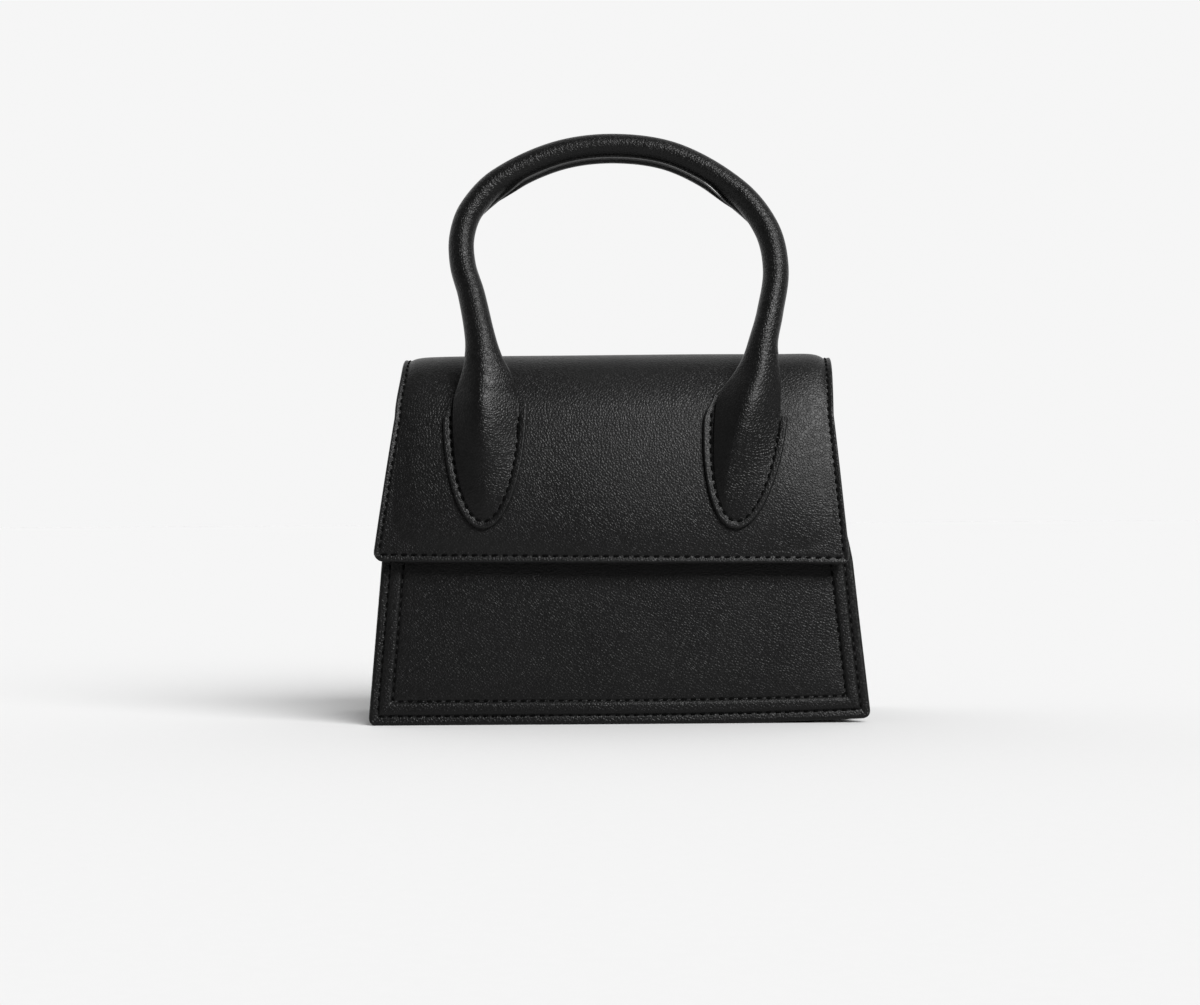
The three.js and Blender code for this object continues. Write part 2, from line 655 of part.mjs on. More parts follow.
// The flat leather around a domed end: half an ellipse that lies on the flap
function tabMargin(tab) {
  const tilt = Math.atan2(tab.leanOver, TAB_LENGTH);
  const face = (isOuter) => (u, angle) => {
    const across = u * (TAB_WIDTH / 2) * Math.sin(angle);
    const up = TAB_LENGTH * (1 - Math.cos(angle));
    const x = tab.x + across * Math.cos(tilt) + up * Math.sin(tilt);
    const z = tab.z + up * Math.cos(tilt) - across * Math.sin(tilt);
    const top = Math.abs(u) < 1 ? TAB_WALL : 0.6 * TAB_WALL;
    return aboveFace(x, z, isOuter ? top : 0, false).toArray();
  };
  const us = [];
  for (let i = 0; i <= TAB_COLUMNS; i++) us.push((2 * i) / TAB_COLUMNS - 1);
  const angles = [degToRad(2)];
  for (let k = 1; k <= TAB_ROWS; k++) angles.push((k / TAB_ROWS) * (Math.PI / 2));
  return wall(us, angles, face(true), face(false));
}

function handle() {
  const track = handleTrack();
  const grip = loft(ringPlaces(track).map((s) => gripRing(track, s)));
  const overNeck = ringPlaces(track).filter((s) => track.value("z", s) > FIN_START);
  const fin = loft(overNeck.map((s) => finRing(track, s)));
  return join([grip, fin, ...TABS.map(tabMargin)]);
}

// Magnetic snap: one plain disc between the flap and the front panel

const PANEL_NORMAL = new THREE.Vector3(0, -1, LEAN).normalize();

function snap() {
  const panelY = (z) => -halfDepth(z) - bow(0, z) - riseAt(FRONT_BORDER, BASE_WIDTH);
  const flapY = (z) => flapFrontY(z) + FLAP_WALL / 2 - flapSwell(-SNAP_RADIUS, z);
  const upperEdge = SNAP_HEIGHT + SNAP_RADIUS; // the flap leans more than the panel, so it is nearest there
  const thick = panelY(upperEdge) - flapY(upperEdge) - 3 * GAP;
  const profile = [
    [0, 0],
    [SNAP_RADIUS - SNAP_CHAMFER, 0],
    [SNAP_RADIUS, SNAP_CHAMFER],
    [SNAP_RADIUS, thick - SNAP_CHAMFER],
    [SNAP_RADIUS - SNAP_CHAMFER, thick],
    [0, thick],
  ].map(([r, h]) => new THREE.Vector2(r, h));
  const disc = new THREE.LatheGeometry(profile, SNAP_SIDES);
  const turn = new THREE.Quaternion().setFromUnitVectors(new THREE.Vector3(0, 1, 0), PANEL_NORMAL);
  const seat = new THREE.Vector3(0, BODY_SETBACK + panelY(SNAP_HEIGHT), SNAP_HEIGHT);
  seat.addScaledVector(PANEL_NORMAL, GAP);
  return disc.applyQuaternion(turn).translate(...seat.toArray());
}

// The assembled bag

const leather = (colour) => new THREE.MeshStandardMaterial({ color: colour, roughness: 0.55, metalness: 0 });
const steel = new THREE.MeshStandardMaterial({ color: 0x8d8f92, roughness: 0.35, metalness: 1 });

const PIECES = [
  ["front_panel", panel(-1, FRONT_BORDER, CORNER_CURL), leather(0x191919)],
  ["back_panel", panel(1, BACK_BORDER, 0), leather(0x191919)],
  ["gusset_left", gusset(-1), leather(0x161616)],
  ["gusset_right", gusset(1), leather(0x161616)],
  ["base_panel", base(), leather(0x161616)],
  ["flap", flap(), leather(0x1b1b1b)],
  ["handle", handle(), leather(0x1b1b1b)],
  ["magnetic_snap", snap(), steel],
];

const bag = new THREE.Group();
for (const [name, geometry, material] of PIECES) {
  geometry.computeVertexNormals();
  const mesh = new THREE.Mesh(geometry, material);
  mesh.name = name;
  bag.add(mesh);
}

export default bag;
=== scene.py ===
"""Looks of the mini top-handle bag: fine leather meshes over the CAD solids, stitches and a studio.

Shapes are worked out in millimetres, mostly from the sizes of the CAD model, and meshes are made in metres.
The front of the bag faces -Y, and +Z is up.
"""

import math

import bpy
import numpy as np
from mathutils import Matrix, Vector


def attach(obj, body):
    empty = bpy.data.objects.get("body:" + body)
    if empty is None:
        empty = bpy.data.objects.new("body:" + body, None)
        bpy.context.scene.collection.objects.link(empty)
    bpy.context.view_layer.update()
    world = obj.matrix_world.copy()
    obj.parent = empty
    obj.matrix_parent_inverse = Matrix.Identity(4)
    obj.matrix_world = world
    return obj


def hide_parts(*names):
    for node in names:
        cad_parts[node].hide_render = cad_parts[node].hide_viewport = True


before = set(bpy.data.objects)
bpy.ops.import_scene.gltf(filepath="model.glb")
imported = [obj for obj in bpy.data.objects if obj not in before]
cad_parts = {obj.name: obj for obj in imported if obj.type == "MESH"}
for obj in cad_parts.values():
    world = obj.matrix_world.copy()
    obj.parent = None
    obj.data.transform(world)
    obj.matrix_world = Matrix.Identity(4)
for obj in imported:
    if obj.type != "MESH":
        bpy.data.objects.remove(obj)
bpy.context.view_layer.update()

MM = 0.001

# Sizes of the body
BASE_WIDTH = 181.6
TOP_WIDTH = 160.3
BASE_DEPTH = 74
TOP_DEPTH = 46.9
BODY_HEIGHT = 122
BODY_SETBACK = 1.47
BODY_SWAY = -0.9
PANEL_WALL = 2.4
PANEL_CORNER = 3
PANEL_BOW = 1.2
MOUTH_CURVE = 7.2
MOUTH_CURVE_START = 96
CORNER_CURL = 1.8
CURL_WIDTH = 90
CURL_HEIGHT = 36
GAP = 0.3

# How far the front panel draws in under the flap on each side, and between which heights
LEFT_TUCK = 2.0
LEFT_TUCK_HEIGHTS = (70, BODY_HEIGHT)
RIGHT_TUCK = 1.2
RIGHT_TUCK_HEIGHTS = (57, 72)

# Sizes of the gussets and the base
GUSSET_WALL = 1.4
SEAM_FLANGE = 5
SEAM_INSET = 0.8
GUSSET_TOP = 117
GUSSET_DIP = 13
FOLD_AT_BASE = 1
FOLD_AT_TOP = 10
BASE_WALL = 1.6
BASE_RISE = 4.8
BASE_EDGE = 2.6
BASE_BEND = 2.0

# Section of a gusset, in places from 0 at its fold to 1 at the edge of its flange
FOLD_REACH = 0.78
FOLD_POWER = 1.15
FOLD_ROUND = 0.12
FOLD_TIP = 0.06
WALL_REACH = 0.82
WALL_TURN = (0.7, 0.86)
WALL_END = 0.79
FLANGE_START = 0.8

# Sizes of the flap. From its hem it leans back more and more, and rolls over the mouth to the back
FLAP_WALL = 2.6
FLAP_STANDOFF = 4.6
FLAP_TOP = 134.6
FLAP_HEM = 58.4
FLAP_BACK_HEM = 92
FLAP_HEM_WIDTH = 172.5
FLAP_TOP_WIDTH = 160.6
FLAP_NARROW = 112
HEM_LEAN = math.radians(5)
SHOULDER_LEAN = math.radians(18.5)
BROW_LEAN = math.radians(41)
SHOULDER_RADIUS = 50
BROW_RADIUS = 20
RIDGE_SLOPE = 0.03
RIDGE_WIDTH = 12
FLAP_TWIST = 0.8
SWELL_TOP = 124
FLAP_CORNER = 4
FLAP_SWAY = -2.9
FLAP_SWAY_END = 95
FLAP_HEM_TILT = math.radians(0.8)
FLAP_SPARE = 5
FLAP_BACK_EASE = 0.1

# Padding of the flap's face, and of its roll, which is higher on the right and draws in on the left
FLAP_SUNK = 0.7
FLAP_FIELD = 2.2
FLAP_REACH = 11
FLAP_ROUND = 12
ROLL_FIELD = 1.7
ROLL_REACH = 2.6
ROLL_TILT = 0.35
ROLL_DRAW = 1.1
ROLL_HEIGHTS = (114, 130)

# Relief of the panels
WELT_HEIGHT = 1.0
FRONT_SUNK = 0.35
BACK_SUNK = 0.4

# Slow unevenness of the leather, and how far from the edge it sets in
PANEL_RIPPLE = 0.12
PANEL_RIPPLE_FROM = (8, 30)
GUSSET_RIPPLE = 0.1
GUSSET_RIPPLE_FROM = (0.25, 0.5)
FLAP_RIPPLE = 0.14
FLAP_RIPPLE_FROM = (6, 25)

# Sizes of the handle
TAB_LENGTH = 44
TAB_WIDTH = 30.4
TAB_WALL = 1.6
TAB_MARGIN = 3.4
DOME_TIP = 0.5
DOME_SLOPE = 0.3
DOME_RISE = 0.35
DOME_START = 0.35
DOME_RIDGE = 0.36
DOME_FRONT = 6.5
DOME_BACK = 2.5
DOME_SQUARE = 6
ROD_SQUARE = 2
ROD_DEPTH = 5
NECK_START = 114
NECK_TOP = 140
HANDLE_LEAN = math.radians(17)

# The handle's raised seam: heights where it starts and is full, and how far from the middle it turns behind
FIN_REACH = 1.9
FIN_START = 128
FIN_FULL = 142
FIN_UNDER = 36
FIN_BEHIND = 58
FIN_ANGLES = (2, 90)

# The flat margins of the handle's ends. Angles run along them from 0 at the left top to pi at the right top
MARGIN_WALL = 1.1
MARGIN_REACH = 6
MARGIN_TAPER = 3.0
TAPER_START = 0.14
SEWN_FADE = 0.08

# Stitch rows, as distances from the leather's edge, and where they end and turn
FRONT_ROWS = (3.1, 7.95)
BACK_ROW = 3.2
FLAP_ROW = 1.9
HEM_STRETCH = 1.25
END_STRETCH = 1.08
TAB_ROW = 2.6
ROW_TOP = 1
ROW_TURN = 1.2
TAB_ROW_HEIGHT = 0.95
TAB_ROW_ENDS = (0.06, math.pi - 0.06)

# Stitches: sizes, slant, and how much they vary in turn and length
STITCH_PITCH = 3.4
STITCH_LENGTH = 2.2
STITCH_RADIUS = 0.42
STITCH_SLANT = 0.1
TURN_SPREAD = 0.03
LENGTH_SPREAD = 0.05

# The two sewn ends of the handle: the tip's place, how far the margin leans over, where the neck starts,
# the angles at which the margin and the tacks end, and how far out the ridge lies at the tip and at the top
TABS = (
    {
        "x": -48.9,
        "z": 70.8,
        "lean": 0.4,
        "neck": -48.1,
        "ends": (-0.12, math.pi + 0.05),
        "tacks": (math.pi - 0.24, math.pi - 0.135),
        "ridge": (-0.1, 0.15),
    },
    {
        "x": 41.9,
        "z": 70.3,
        "lean": 5.2,
        "neck": 47.8,
        "ends": (-0.1, math.pi - 0.04),
        "tacks": (math.pi - 0.22, math.pi - 0.12),
        "ridge": (-0.8, 0.0),
    },
)

# Centre line of the grip from the left tab to the right one: x, z and half width
GRIP = (
    (-48.1, 117.6, 11.4),
    (-48.0, 124.6, 9.7),
    (-49.0, 131.6, 7.1),
    (-50.2, 139.7, 5.6),
    (-53.5, 155.6, 5.0),
    (-56.8, 167.0, 4.8),
    (-57.3, 177.9, 4.7),
    (-53.9, 188.3, 4.7),
    (-43.6, 199.6, 4.7),
    (-21.8, 210.0, 4.7),
    (0.7, 212.7, 4.7),
    (23.1, 208.7, 4.7),
    (45.3, 194.9, 4.7),
    (56.1, 180.0, 4.8),
    (59.0, 164.4, 4.8),
    (56.3, 147.9, 4.9),
    (53.7, 137.6, 5.4),
    (52.6, 130.6, 6.8),
    (51.1, 123.6, 9.0),
    (48.2, 115.5, 11.6),
)

# Small numeric helpers


def lerp(a, b, t):
    return a + (b - a) * t


def smooth(value, low, high):
    t = np.clip((value - low) / (high - low), 0, 1)
    return t * t * (3 - 2 * t)


def unit(vectors):
    length = np.linalg.norm(vectors, axis=-1, keepdims=True)
    return vectors / np.maximum(length, 1e-9)


def stack(*columns):
    return np.stack(np.broadcast_arrays(*columns), axis=-1).astype(float)


# Shape of the tapered body


def half_width(z):
    return lerp(BASE_WIDTH, TOP_WIDTH, z / BODY_HEIGHT) / 2


def slope_depth(z):
    return lerp(BASE_DEPTH, TOP_DEPTH, z / BODY_HEIGHT) / 2


def half_depth(z):
    """Half the depth of the body: straight slopes that curve in towards the mouth."""
    upper = np.clip((z - MOUTH_CURVE_START) / (BODY_HEIGHT - MOUTH_CURVE_START), 0, 1)
    return slope_depth(z) - MOUTH_CURVE * upper**2


def sway(z):
    return BODY_SWAY * z / BODY_HEIGHT


def bow(x, z):
    across = np.clip(1 - (x / half_width(z)) ** 2, 0, 1)
    return PANEL_BOW * across * np.sin(np.pi * np.clip(z / BODY_HEIGHT, 0, 1))


def ripple(a, b, seed):
    """Slow unevenness of hand-sewn leather, a fraction of a millimetre high."""
    wave = np.sin(a / 17 + seed) * np.sin(b / 23 + 2 * seed)
    return wave + 0.6 * np.sin(a / 9.5 - b / 13 + 3 * seed)


# Slope of the panels
LEAN = (BASE_DEPTH - TOP_DEPTH) / 2 / BODY_HEIGHT

# Relief of the leather near its edges


def groove(distance, row, depth=0.2, half=0.45):
    return -depth * np.exp(-(((distance - row) / half) ** 2))


def flat_hump(distance, low, high, flatness=3.5):
    """A rise between two rows, nearly flat along its middle."""
    t = np.clip((distance - low) / (high - low), 0, 1)
    return 1 - np.abs(2 * t - 1) ** flatness


def edge_lip(distance, row, height, roll=0.8, drop=1.3):
    """A sewn edge: rounded at the cut, highest just inside it, and drawn down towards the stitch row."""
    slope = height * np.clip(1 - distance / row, 0, 1)
    return slope - drop * height * np.clip(1 - distance / roll, 0, 1) ** 2


def padding(distance, row, height, reach):
    """The plain field inside a stitch row, which swells away from the row."""
    return height * (1 - np.exp(-np.maximum(distance - row, 0) / reach))


def front_relief(distance):
    outer, inner = FRONT_ROWS
    lip = edge_lip(distance, outer, height=0.45, roll=1.3)
    welt = WELT_HEIGHT * flat_hump(distance, outer, inner)
    rows = groove(distance, outer) + groove(distance, inner)
    return lip + welt + rows + padding(distance, inner, height=0.5, reach=5) - FRONT_SUNK


def back_relief(distance):
    lip = edge_lip(distance, BACK_ROW, height=0.4)
    return lip + groove(distance, BACK_ROW) + padding(distance, BACK_ROW, height=0.5, reach=6) - BACK_SUNK


def flap_relief(distance, field, rolled=0, tilt=0):
    """Relief at a distance from the flap's edge. Padding goes by field, a distance with rounded corners.
    Rolled goes from 0 on the face to 1 on the roll, which the tilt raises."""
    lip = edge_lip(distance, FLAP_ROW, height=0.4, roll=0.6)
    face = padding(field, FLAP_ROW, FLAP_FIELD, FLAP_REACH)
    roll = padding(field, FLAP_ROW, ROLL_FIELD + tilt, ROLL_REACH)
    return lip + groove(distance, FLAP_ROW) - FLAP_SUNK + lerp(face, roll, rolled)


def soft_least(a, b, blend):
    """The lesser of two distances, with a round turn where they are alike."""
    return (a + b - np.hypot(a - b, blend)) / 2


def round_corner(from_side, from_end, radius):
    """Two distances from the edges of a square corner, moved onto circles about the corner's centre."""
    a = 1 - from_side / radius
    b = 1 - from_end / radius
    inside = (a > 0) & (b > 0)
    pull = np.maximum(a, b) / np.maximum(np.hypot(a, b), 1e-9)
    side = np.where(inside, radius * (1 - a * pull), from_side)
    end = np.where(inside, radius * (1 - b * pull), from_end)
    return side, end


# Grids over the leather: stations 0 to 1 span the plain field, and 1 to 2 the border

BORDER = 16
BORDER_LINES = np.concatenate(
    [np.linspace(0, 1.2, 8), np.arange(1.45, 10.6, 0.25), np.linspace(11, BORDER, 6)]
)

# Edge of two layers of leather: share of the way from the outer face to the inner, and how far it bulges
RIM = (
    (0.1, 0.16),
    (0.28, 0.26),
    (0.44, 0.2),
    (0.5, 0.02),
    (0.56, 0.2),
    (0.72, 0.26),
    (0.9, 0.16),
)


def from_edge(station, half):
    inside = np.abs(station)
    return np.where(inside > 1, (2 - inside) * BORDER, half - inside * (half - BORDER))


def stations_across(columns):
    field = np.linspace(-1, 1, columns + 1)[1:-1]
    edge = 2 - BORDER_LINES / BORDER
    return np.concatenate([-edge, field, edge[::-1]])


# Meshes


def make_object(name, points, faces, materials, slots=None):
    mesh = bpy.data.meshes.new(name)
    mesh.from_pydata((np.asarray(points) * MM).tolist(), [], faces)
    for material in materials:
        mesh.materials.append(material)
    if slots is not None:
        mesh.polygons.foreach_set("material_index", slots)
    mesh.polygons.foreach_set("use_smooth", np.ones(len(faces), dtype=bool))
    mesh.update()
    piece = bpy.data.objects.new(name, mesh)
    bpy.context.scene.collection.objects.link(piece)
    return piece


def grid_faces(rows, columns, start=0, flip=False):
    j, i = np.meshgrid(np.arange(rows - 1), np.arange(columns - 1), indexing="ij")
    a = start + j * columns + i
    quads = np.stack([a, a + 1, a + 1 + columns, a + columns], axis=-1).reshape(-1, 4)
    return quads[:, ::-1] if flip else quads


def perimeter(rows, columns):
    """Grid places around the edge, counter-clockwise, and the place just inside each of them."""
    low = [(0, i) for i in range(columns - 1)]
    right = [(j, columns - 1) for j in range(rows - 1)]
    high = [(rows - 1, i) for i in range(columns - 1, 0, -1)]
    left = [(j, 0) for j in range(rows - 1, 0, -1)]
    ring = np.array(low + right + high + left)
    inside = np.clip(ring, 1, [rows - 2, columns - 2])
    return ring, inside


def leather_shell(outer, inner):
    """Points, faces and material slots of leather between two faces, with a rounded two-layer edge."""
    rows, columns = outer.shape[:2]
    count = rows * columns
    ring, inside = perimeter(rows, columns)
    top, bottom = outer[tuple(ring.T)], inner[tuple(ring.T)]
    outward = unit(top - outer[tuple(inside.T)])
    layers = [lerp(top, bottom, share) + bulge * outward for share, bulge in RIM]
    points = np.concatenate([outer.reshape(-1, 3), inner.reshape(-1, 3), *layers])

    flat = ring[:, 0] * columns + ring[:, 1]
    size = len(ring)
    loops = [flat] + [2 * count + k * size + np.arange(size) for k in range(len(layers))] + [count + flat]
    strips = []
    for upper, lower in zip(loops, loops[1:]):
        strips.append(np.stack([upper, lower, np.roll(lower, -1), np.roll(upper, -1)], axis=-1))
    rim_faces = np.concatenate(strips)
    top_faces = grid_faces(rows, columns)
    back_faces = grid_faces(rows, columns, start=count, flip=True)
    faces = np.concatenate([top_faces, back_faces, rim_faces])
    slots = np.repeat([0, 2, 1], [len(top_faces), len(back_faces), len(rim_faces)])
    return points, faces, slots


def joined(parts):
    """Several shells as one set of points, faces and slots."""
    points, faces, slots, start = [], [], [], 0
    for part_points, part_faces, part_slots in parts:
        points.append(part_points)
        faces.append(part_faces + start)
        slots.append(part_slots)
        start += len(part_points)
    return np.concatenate(points), np.concatenate(faces), np.concatenate(slots)


def leather_piece(name, shell, materials):
    points, faces, slots = shell
    return make_object(name, points, faces.tolist(), materials, slots)


# Stitches


def stitch_shape(length, radius):
    """One stitch as rings along its length: it rises out of its hole and dives into the next."""
    around = np.linspace(0, 2 * np.pi, 8, endpoint=False)
    along = np.array([-1, -0.93, -0.78, -0.45, 0, 0.45, 0.78, 0.93, 1])
    thick = radius * np.array([0.3, 0.72, 0.95, 1, 1, 1, 0.95, 0.72, 0.3])
    lift = radius * (0.35 - 1.1 * np.abs(along) ** 3)
    length_axis = np.repeat(along * length / 2, len(around))
    side_axis = np.outer(thick, np.cos(around)).ravel()
    up_axis = (lift[:, None] + np.outer(thick, np.sin(around))).ravel()
    return stack(length_axis, side_axis, up_axis), len(along), len(around)


def tube_faces(rings, sides):
    faces = []
    for j in range(rings - 1):
        for i in range(sides):
            k = (i + 1) % sides
            faces.append((j * sides + i, j * sides + k, (j + 1) * sides + k, (j + 1) * sides + i))
    return faces


def resample(path, pitch, step=0.4):
    """Even places along a path: the share of its length, the point and the unit direction at each."""
    steps = np.linalg.norm(np.diff(path, axis=0), axis=1)
    at = np.concatenate([[0], np.cumsum(steps)])
    count = max(2, int(at[-1] // pitch))
    where = (np.arange(count) + 0.5) * at[-1] / count
    points = stack(*(np.interp(where, at, path[:, k]) for k in range(3)))
    ahead = stack(*(np.interp(where + step, at, path[:, k]) for k in range(3)))
    behind = stack(*(np.interp(where - step, at, path[:, k]) for k in range(3)))
    return where / at[-1], points, unit(ahead - behind)


def stitch_row(
    path, normals, seed, pitch=STITCH_PITCH, length=STITCH_LENGTH, radius=STITCH_RADIUS, slant=STITCH_SLANT
):
    """Points, faces and slots of a row of stitches along a path, each a little different from the next."""
    rng = np.random.default_rng(seed)
    where, centres, along = resample(path, pitch)
    spread = np.linspace(0, 1, len(normals))
    up = unit(stack(*(np.interp(where, spread, normals[:, k]) for k in range(3))))
    side = unit(np.cross(up, along))
    turn = slant + rng.normal(0, TURN_SPREAD, len(where))
    ahead = unit(along * np.cos(turn)[:, None] + side * np.sin(turn)[:, None])
    side = np.cross(up, ahead)
    shape, rings, sides = stitch_shape(length, radius)
    scale = 1 + rng.normal(0, LENGTH_SPREAD, len(where))
    points = (
        centres[:, None]
        + ahead[:, None] * (shape[:, 0] * scale[:, None])[..., None]
        + side[:, None] * shape[None, :, 1, None]
        + up[:, None] * shape[None, :, 2, None]
    )
    one = np.array(tube_faces(rings, sides))
    faces = one[None] + (np.arange(len(where)) * len(shape))[:, None, None]
    faces = faces.reshape(-1, 4)
    return points.reshape(-1, 3), faces, np.zeros(len(faces), dtype=int)


# Front and back panels


def panel_point(side, x, z, height, curl):
    """A point on a panel: side is -1 at the front and 1 at the back, height is above the plain face."""
    y = side * (half_depth(z) + bow(x, z) + height)
    towards_corner = np.clip(1 - (half_width(z) - x) / CURL_WIDTH, 0, 1)
    lift = curl * towards_corner**2 * np.clip(1 - z / CURL_HEIGHT, 0, 1)
    return stack(x + sway(z), BODY_SETBACK + y, z + lift)


def tucked_half(stations, z, side):
    """Half width of a panel: the front one draws in where the flap covers it."""
    left = LEFT_TUCK * smooth(z, *LEFT_TUCK_HEIGHTS)
    right = RIGHT_TUCK * smooth(z, *RIGHT_TUCK_HEIGHTS)
    return half_width(z) - np.where(stations < 0, left, right) * (side < 0)


def panel_shell(side, relief, curl):
    stations = stations_across(48)[None, :]
    ends = np.concatenate([BORDER_LINES, np.linspace(BORDER, BODY_HEIGHT, 40)[1:]])[:, None]
    edge = from_edge(stations, half_width(ends))
    from_side, z = round_corner(edge, ends + 0 * stations, PANEL_CORNER)
    x = -side * np.sign(stations) * (tucked_half(stations, z, side) - from_side)
    uneven = PANEL_RIPPLE * ripple(x, z, side) * smooth(from_side, *PANEL_RIPPLE_FROM)
    height = relief(np.minimum(from_side, z / END_STRETCH)) + uneven
    outer = panel_point(side, x, z, height, curl)
    inner = panel_point(side, x, z, -PANEL_WALL, curl)
    return leather_shell(outer, inner)


def panel_row(side, inset, relief, curl):
    """Path of a stitch row down one side of a panel, along its lower end and up the other side."""
    end = inset * END_STRETCH
    z = np.linspace(BODY_HEIGHT - ROW_TOP, end + ROW_TURN, 80)
    left = stack(inset - tucked_half(np.full_like(z, side), z, side), z)
    right = stack(tucked_half(np.full_like(z, -side), z, side) - inset, z)
    flat_x = np.linspace(-1, 1, 160) * (half_width(end) - inset - ROW_TURN)
    line = np.concatenate([left, stack(flat_x, end + 0 * flat_x), right[::-1]])
    path = panel_point(side, line[:, 0], line[:, 1], relief(np.array(inset)), curl)
    normal = np.array([0, side, LEAN]) / math.hypot(1, LEAN)
    return path, np.repeat(normal[None], len(path), axis=0)


# Gussets and base


def gusset_line(z, places):
    """Horizontal section of a gusset at given heights: places run from the front flange to the back one."""
    reach = half_depth(z) - PANEL_WALL - GAP - GUSSET_WALL / 2
    fold = lerp(FOLD_AT_BASE, FOLD_AT_TOP, smooth(z, 0, BODY_HEIGHT))
    root = half_width(z) - SEAM_FLANGE
    out = np.abs(places)
    inward = np.clip((FOLD_REACH - out) / FOLD_REACH, 0, 1)
    flange = np.clip((out - FLANGE_START) / (1 - FLANGE_START), 0, 1)
    turn = smooth(out, *WALL_TURN)
    crease = inward**FOLD_POWER * (1 - FOLD_ROUND * np.exp(-((places / FOLD_TIP) ** 2)))
    x = root - fold * crease + (SEAM_FLANGE - SEAM_INSET) * flange
    y = np.sign(places) * reach * (1 - (1 - turn) * (1 - np.clip(out / WALL_REACH, 0, 1)))
    return x, y


def gusset_shell(side):
    wall = np.linspace(-WALL_END, WALL_END, 61)
    flange = np.linspace(FLANGE_START, 1, 9)
    places = np.concatenate([-flange[::-1], wall, flange])[None, :]
    rise = np.linspace(0, 1, 70)[:, None]
    dip = GUSSET_DIP * (1 - np.abs(places))
    z = lerp(BASE_RISE + BASE_WALL + GAP, GUSSET_TOP - dip, rise)
    x, y = gusset_line(z, places)
    along = unit(stack(np.gradient(x, axis=1), np.gradient(y, axis=1)))
    puff = GUSSET_RIPPLE * ripple(y, z, 5 + side) * smooth(1 - np.abs(places), *GUSSET_RIPPLE_FROM)

    def face(offset):
        out_x = x + along[..., 1] * (offset + puff)
        out_y = y - along[..., 0] * (offset + puff)
        return stack(side * out_x + sway(z), BODY_SETBACK + side * out_y, z)

    return leather_shell(face(GUSSET_WALL / 2), face(-GUSSET_WALL / 2))


def seam_y(z):
    return half_depth(z) - PANEL_WALL - GAP


def plate(corner, u_axis, v_axis, normal, steps=(12, 8)):
    """A flat piece of the base from a corner along two axes, with its outer face towards the normal."""
    u, v = np.meshgrid(np.linspace(0, 1, steps[0]), np.linspace(0, 1, steps[1]))
    outer = np.asarray(corner) + u[..., None] * np.asarray(u_axis) + v[..., None] * np.asarray(v_axis)
    return leather_shell(outer, outer - BASE_WALL * np.asarray(normal))


def base_channel(top, end):
    """The floor of the bag: a sheet whose rounded edges turn down into the seams."""
    drop = np.linspace(BASE_EDGE, top - BASE_BEND, 6)
    angle = np.linspace(0, np.pi / 2, 8)[1:]
    turn_y = seam_y(top - BASE_BEND) - BASE_BEND * (1 - np.cos(angle))
    profile_y = np.concatenate([seam_y(drop), turn_y])
    profile_z = np.concatenate([drop, top - BASE_BEND + BASE_BEND * np.sin(angle)])
    flat = np.linspace(-1, 1, 40)[1:-1] * profile_y[-1]
    y = np.concatenate([-profile_y, flat, profile_y[::-1]])
    z = np.concatenate([profile_z, top + 0 * flat, profile_z[::-1]])
    along = unit(stack(np.gradient(y), np.gradient(z)))
    x = np.linspace(end, -end, 60)[:, None]
    outer = stack(x, BODY_SETBACK + y[None], z[None])
    inner_y, inner_z = y + along[:, 1] * BASE_WALL, z - along[:, 0] * BASE_WALL
    inner = stack(x, BODY_SETBACK + inner_y[None], inner_z[None])
    return leather_shell(outer[:, ::-1], inner[:, ::-1])


def base_end(side_x, top, end):
    """The plate that closes one end of the floor, and its two wings into the seams."""
    low = [side_x * end, BODY_SETBACK - seam_y(top) + BASE_WALL, BASE_EDGE]
    run = [0, 2 * (seam_y(top) - BASE_WALL), 0]
    rise = [0, 0, BASE_RISE - BASE_EDGE]
    u_axis, v_axis = (run, rise) if side_x > 0 else (rise, run)
    parts = [plate(low, u_axis, v_axis, [side_x, 0, 0])]
    out = [side_x * (half_width(top) - SEAM_INSET - end), 0, 0]
    for side_y in (-1, 1):
        corner = [side_x * end, BODY_SETBACK + side_y * seam_y(BASE_EDGE), BASE_EDGE]
        up = [0, side_y * (seam_y(top) - seam_y(BASE_EDGE)), top - BASE_EDGE]
        u_axis, v_axis = (out, up) if side_x * side_y < 0 else (up, out)
        parts.append(plate(corner, u_axis, v_axis, [0, side_y, 0]))
    return parts


def base_shell():
    top = BASE_RISE + BASE_WALL
    end = half_width(top) - SEAM_FLANGE + GUSSET_WALL / 2
    return joined([base_channel(top, end), *base_end(-1, top, end), *base_end(1, top, end)])


# Flap


def flap_arcs():
    """Arcs of the flap's middle line: radius, and the leans from the vertical at the start and the end."""
    leans = [HEM_LEAN, SHOULDER_LEAN, BROW_LEAN, math.pi / 2]
    rises = np.diff(np.sin(leans))
    rolled = SHOULDER_RADIUS * rises[1] + BROW_RADIUS * rises[2]
    slope_radius = (FLAP_RIDGE - FLAP_HEM - rolled) / rises[0]
    radii = [slope_radius, SHOULDER_RADIUS, BROW_RADIUS]
    ridge_y = HEM_Y - np.diff(np.cos(leans)) @ radii
    last = math.pi - math.atan(LEAN)
    spread = -math.cos(last) - LEAN * (1 - math.sin(last))
    back_radius = (flap_back_y(FLAP_RIDGE) - ridge_y) / spread
    return list(zip(radii + [back_radius], leans, leans[1:] + [last]))


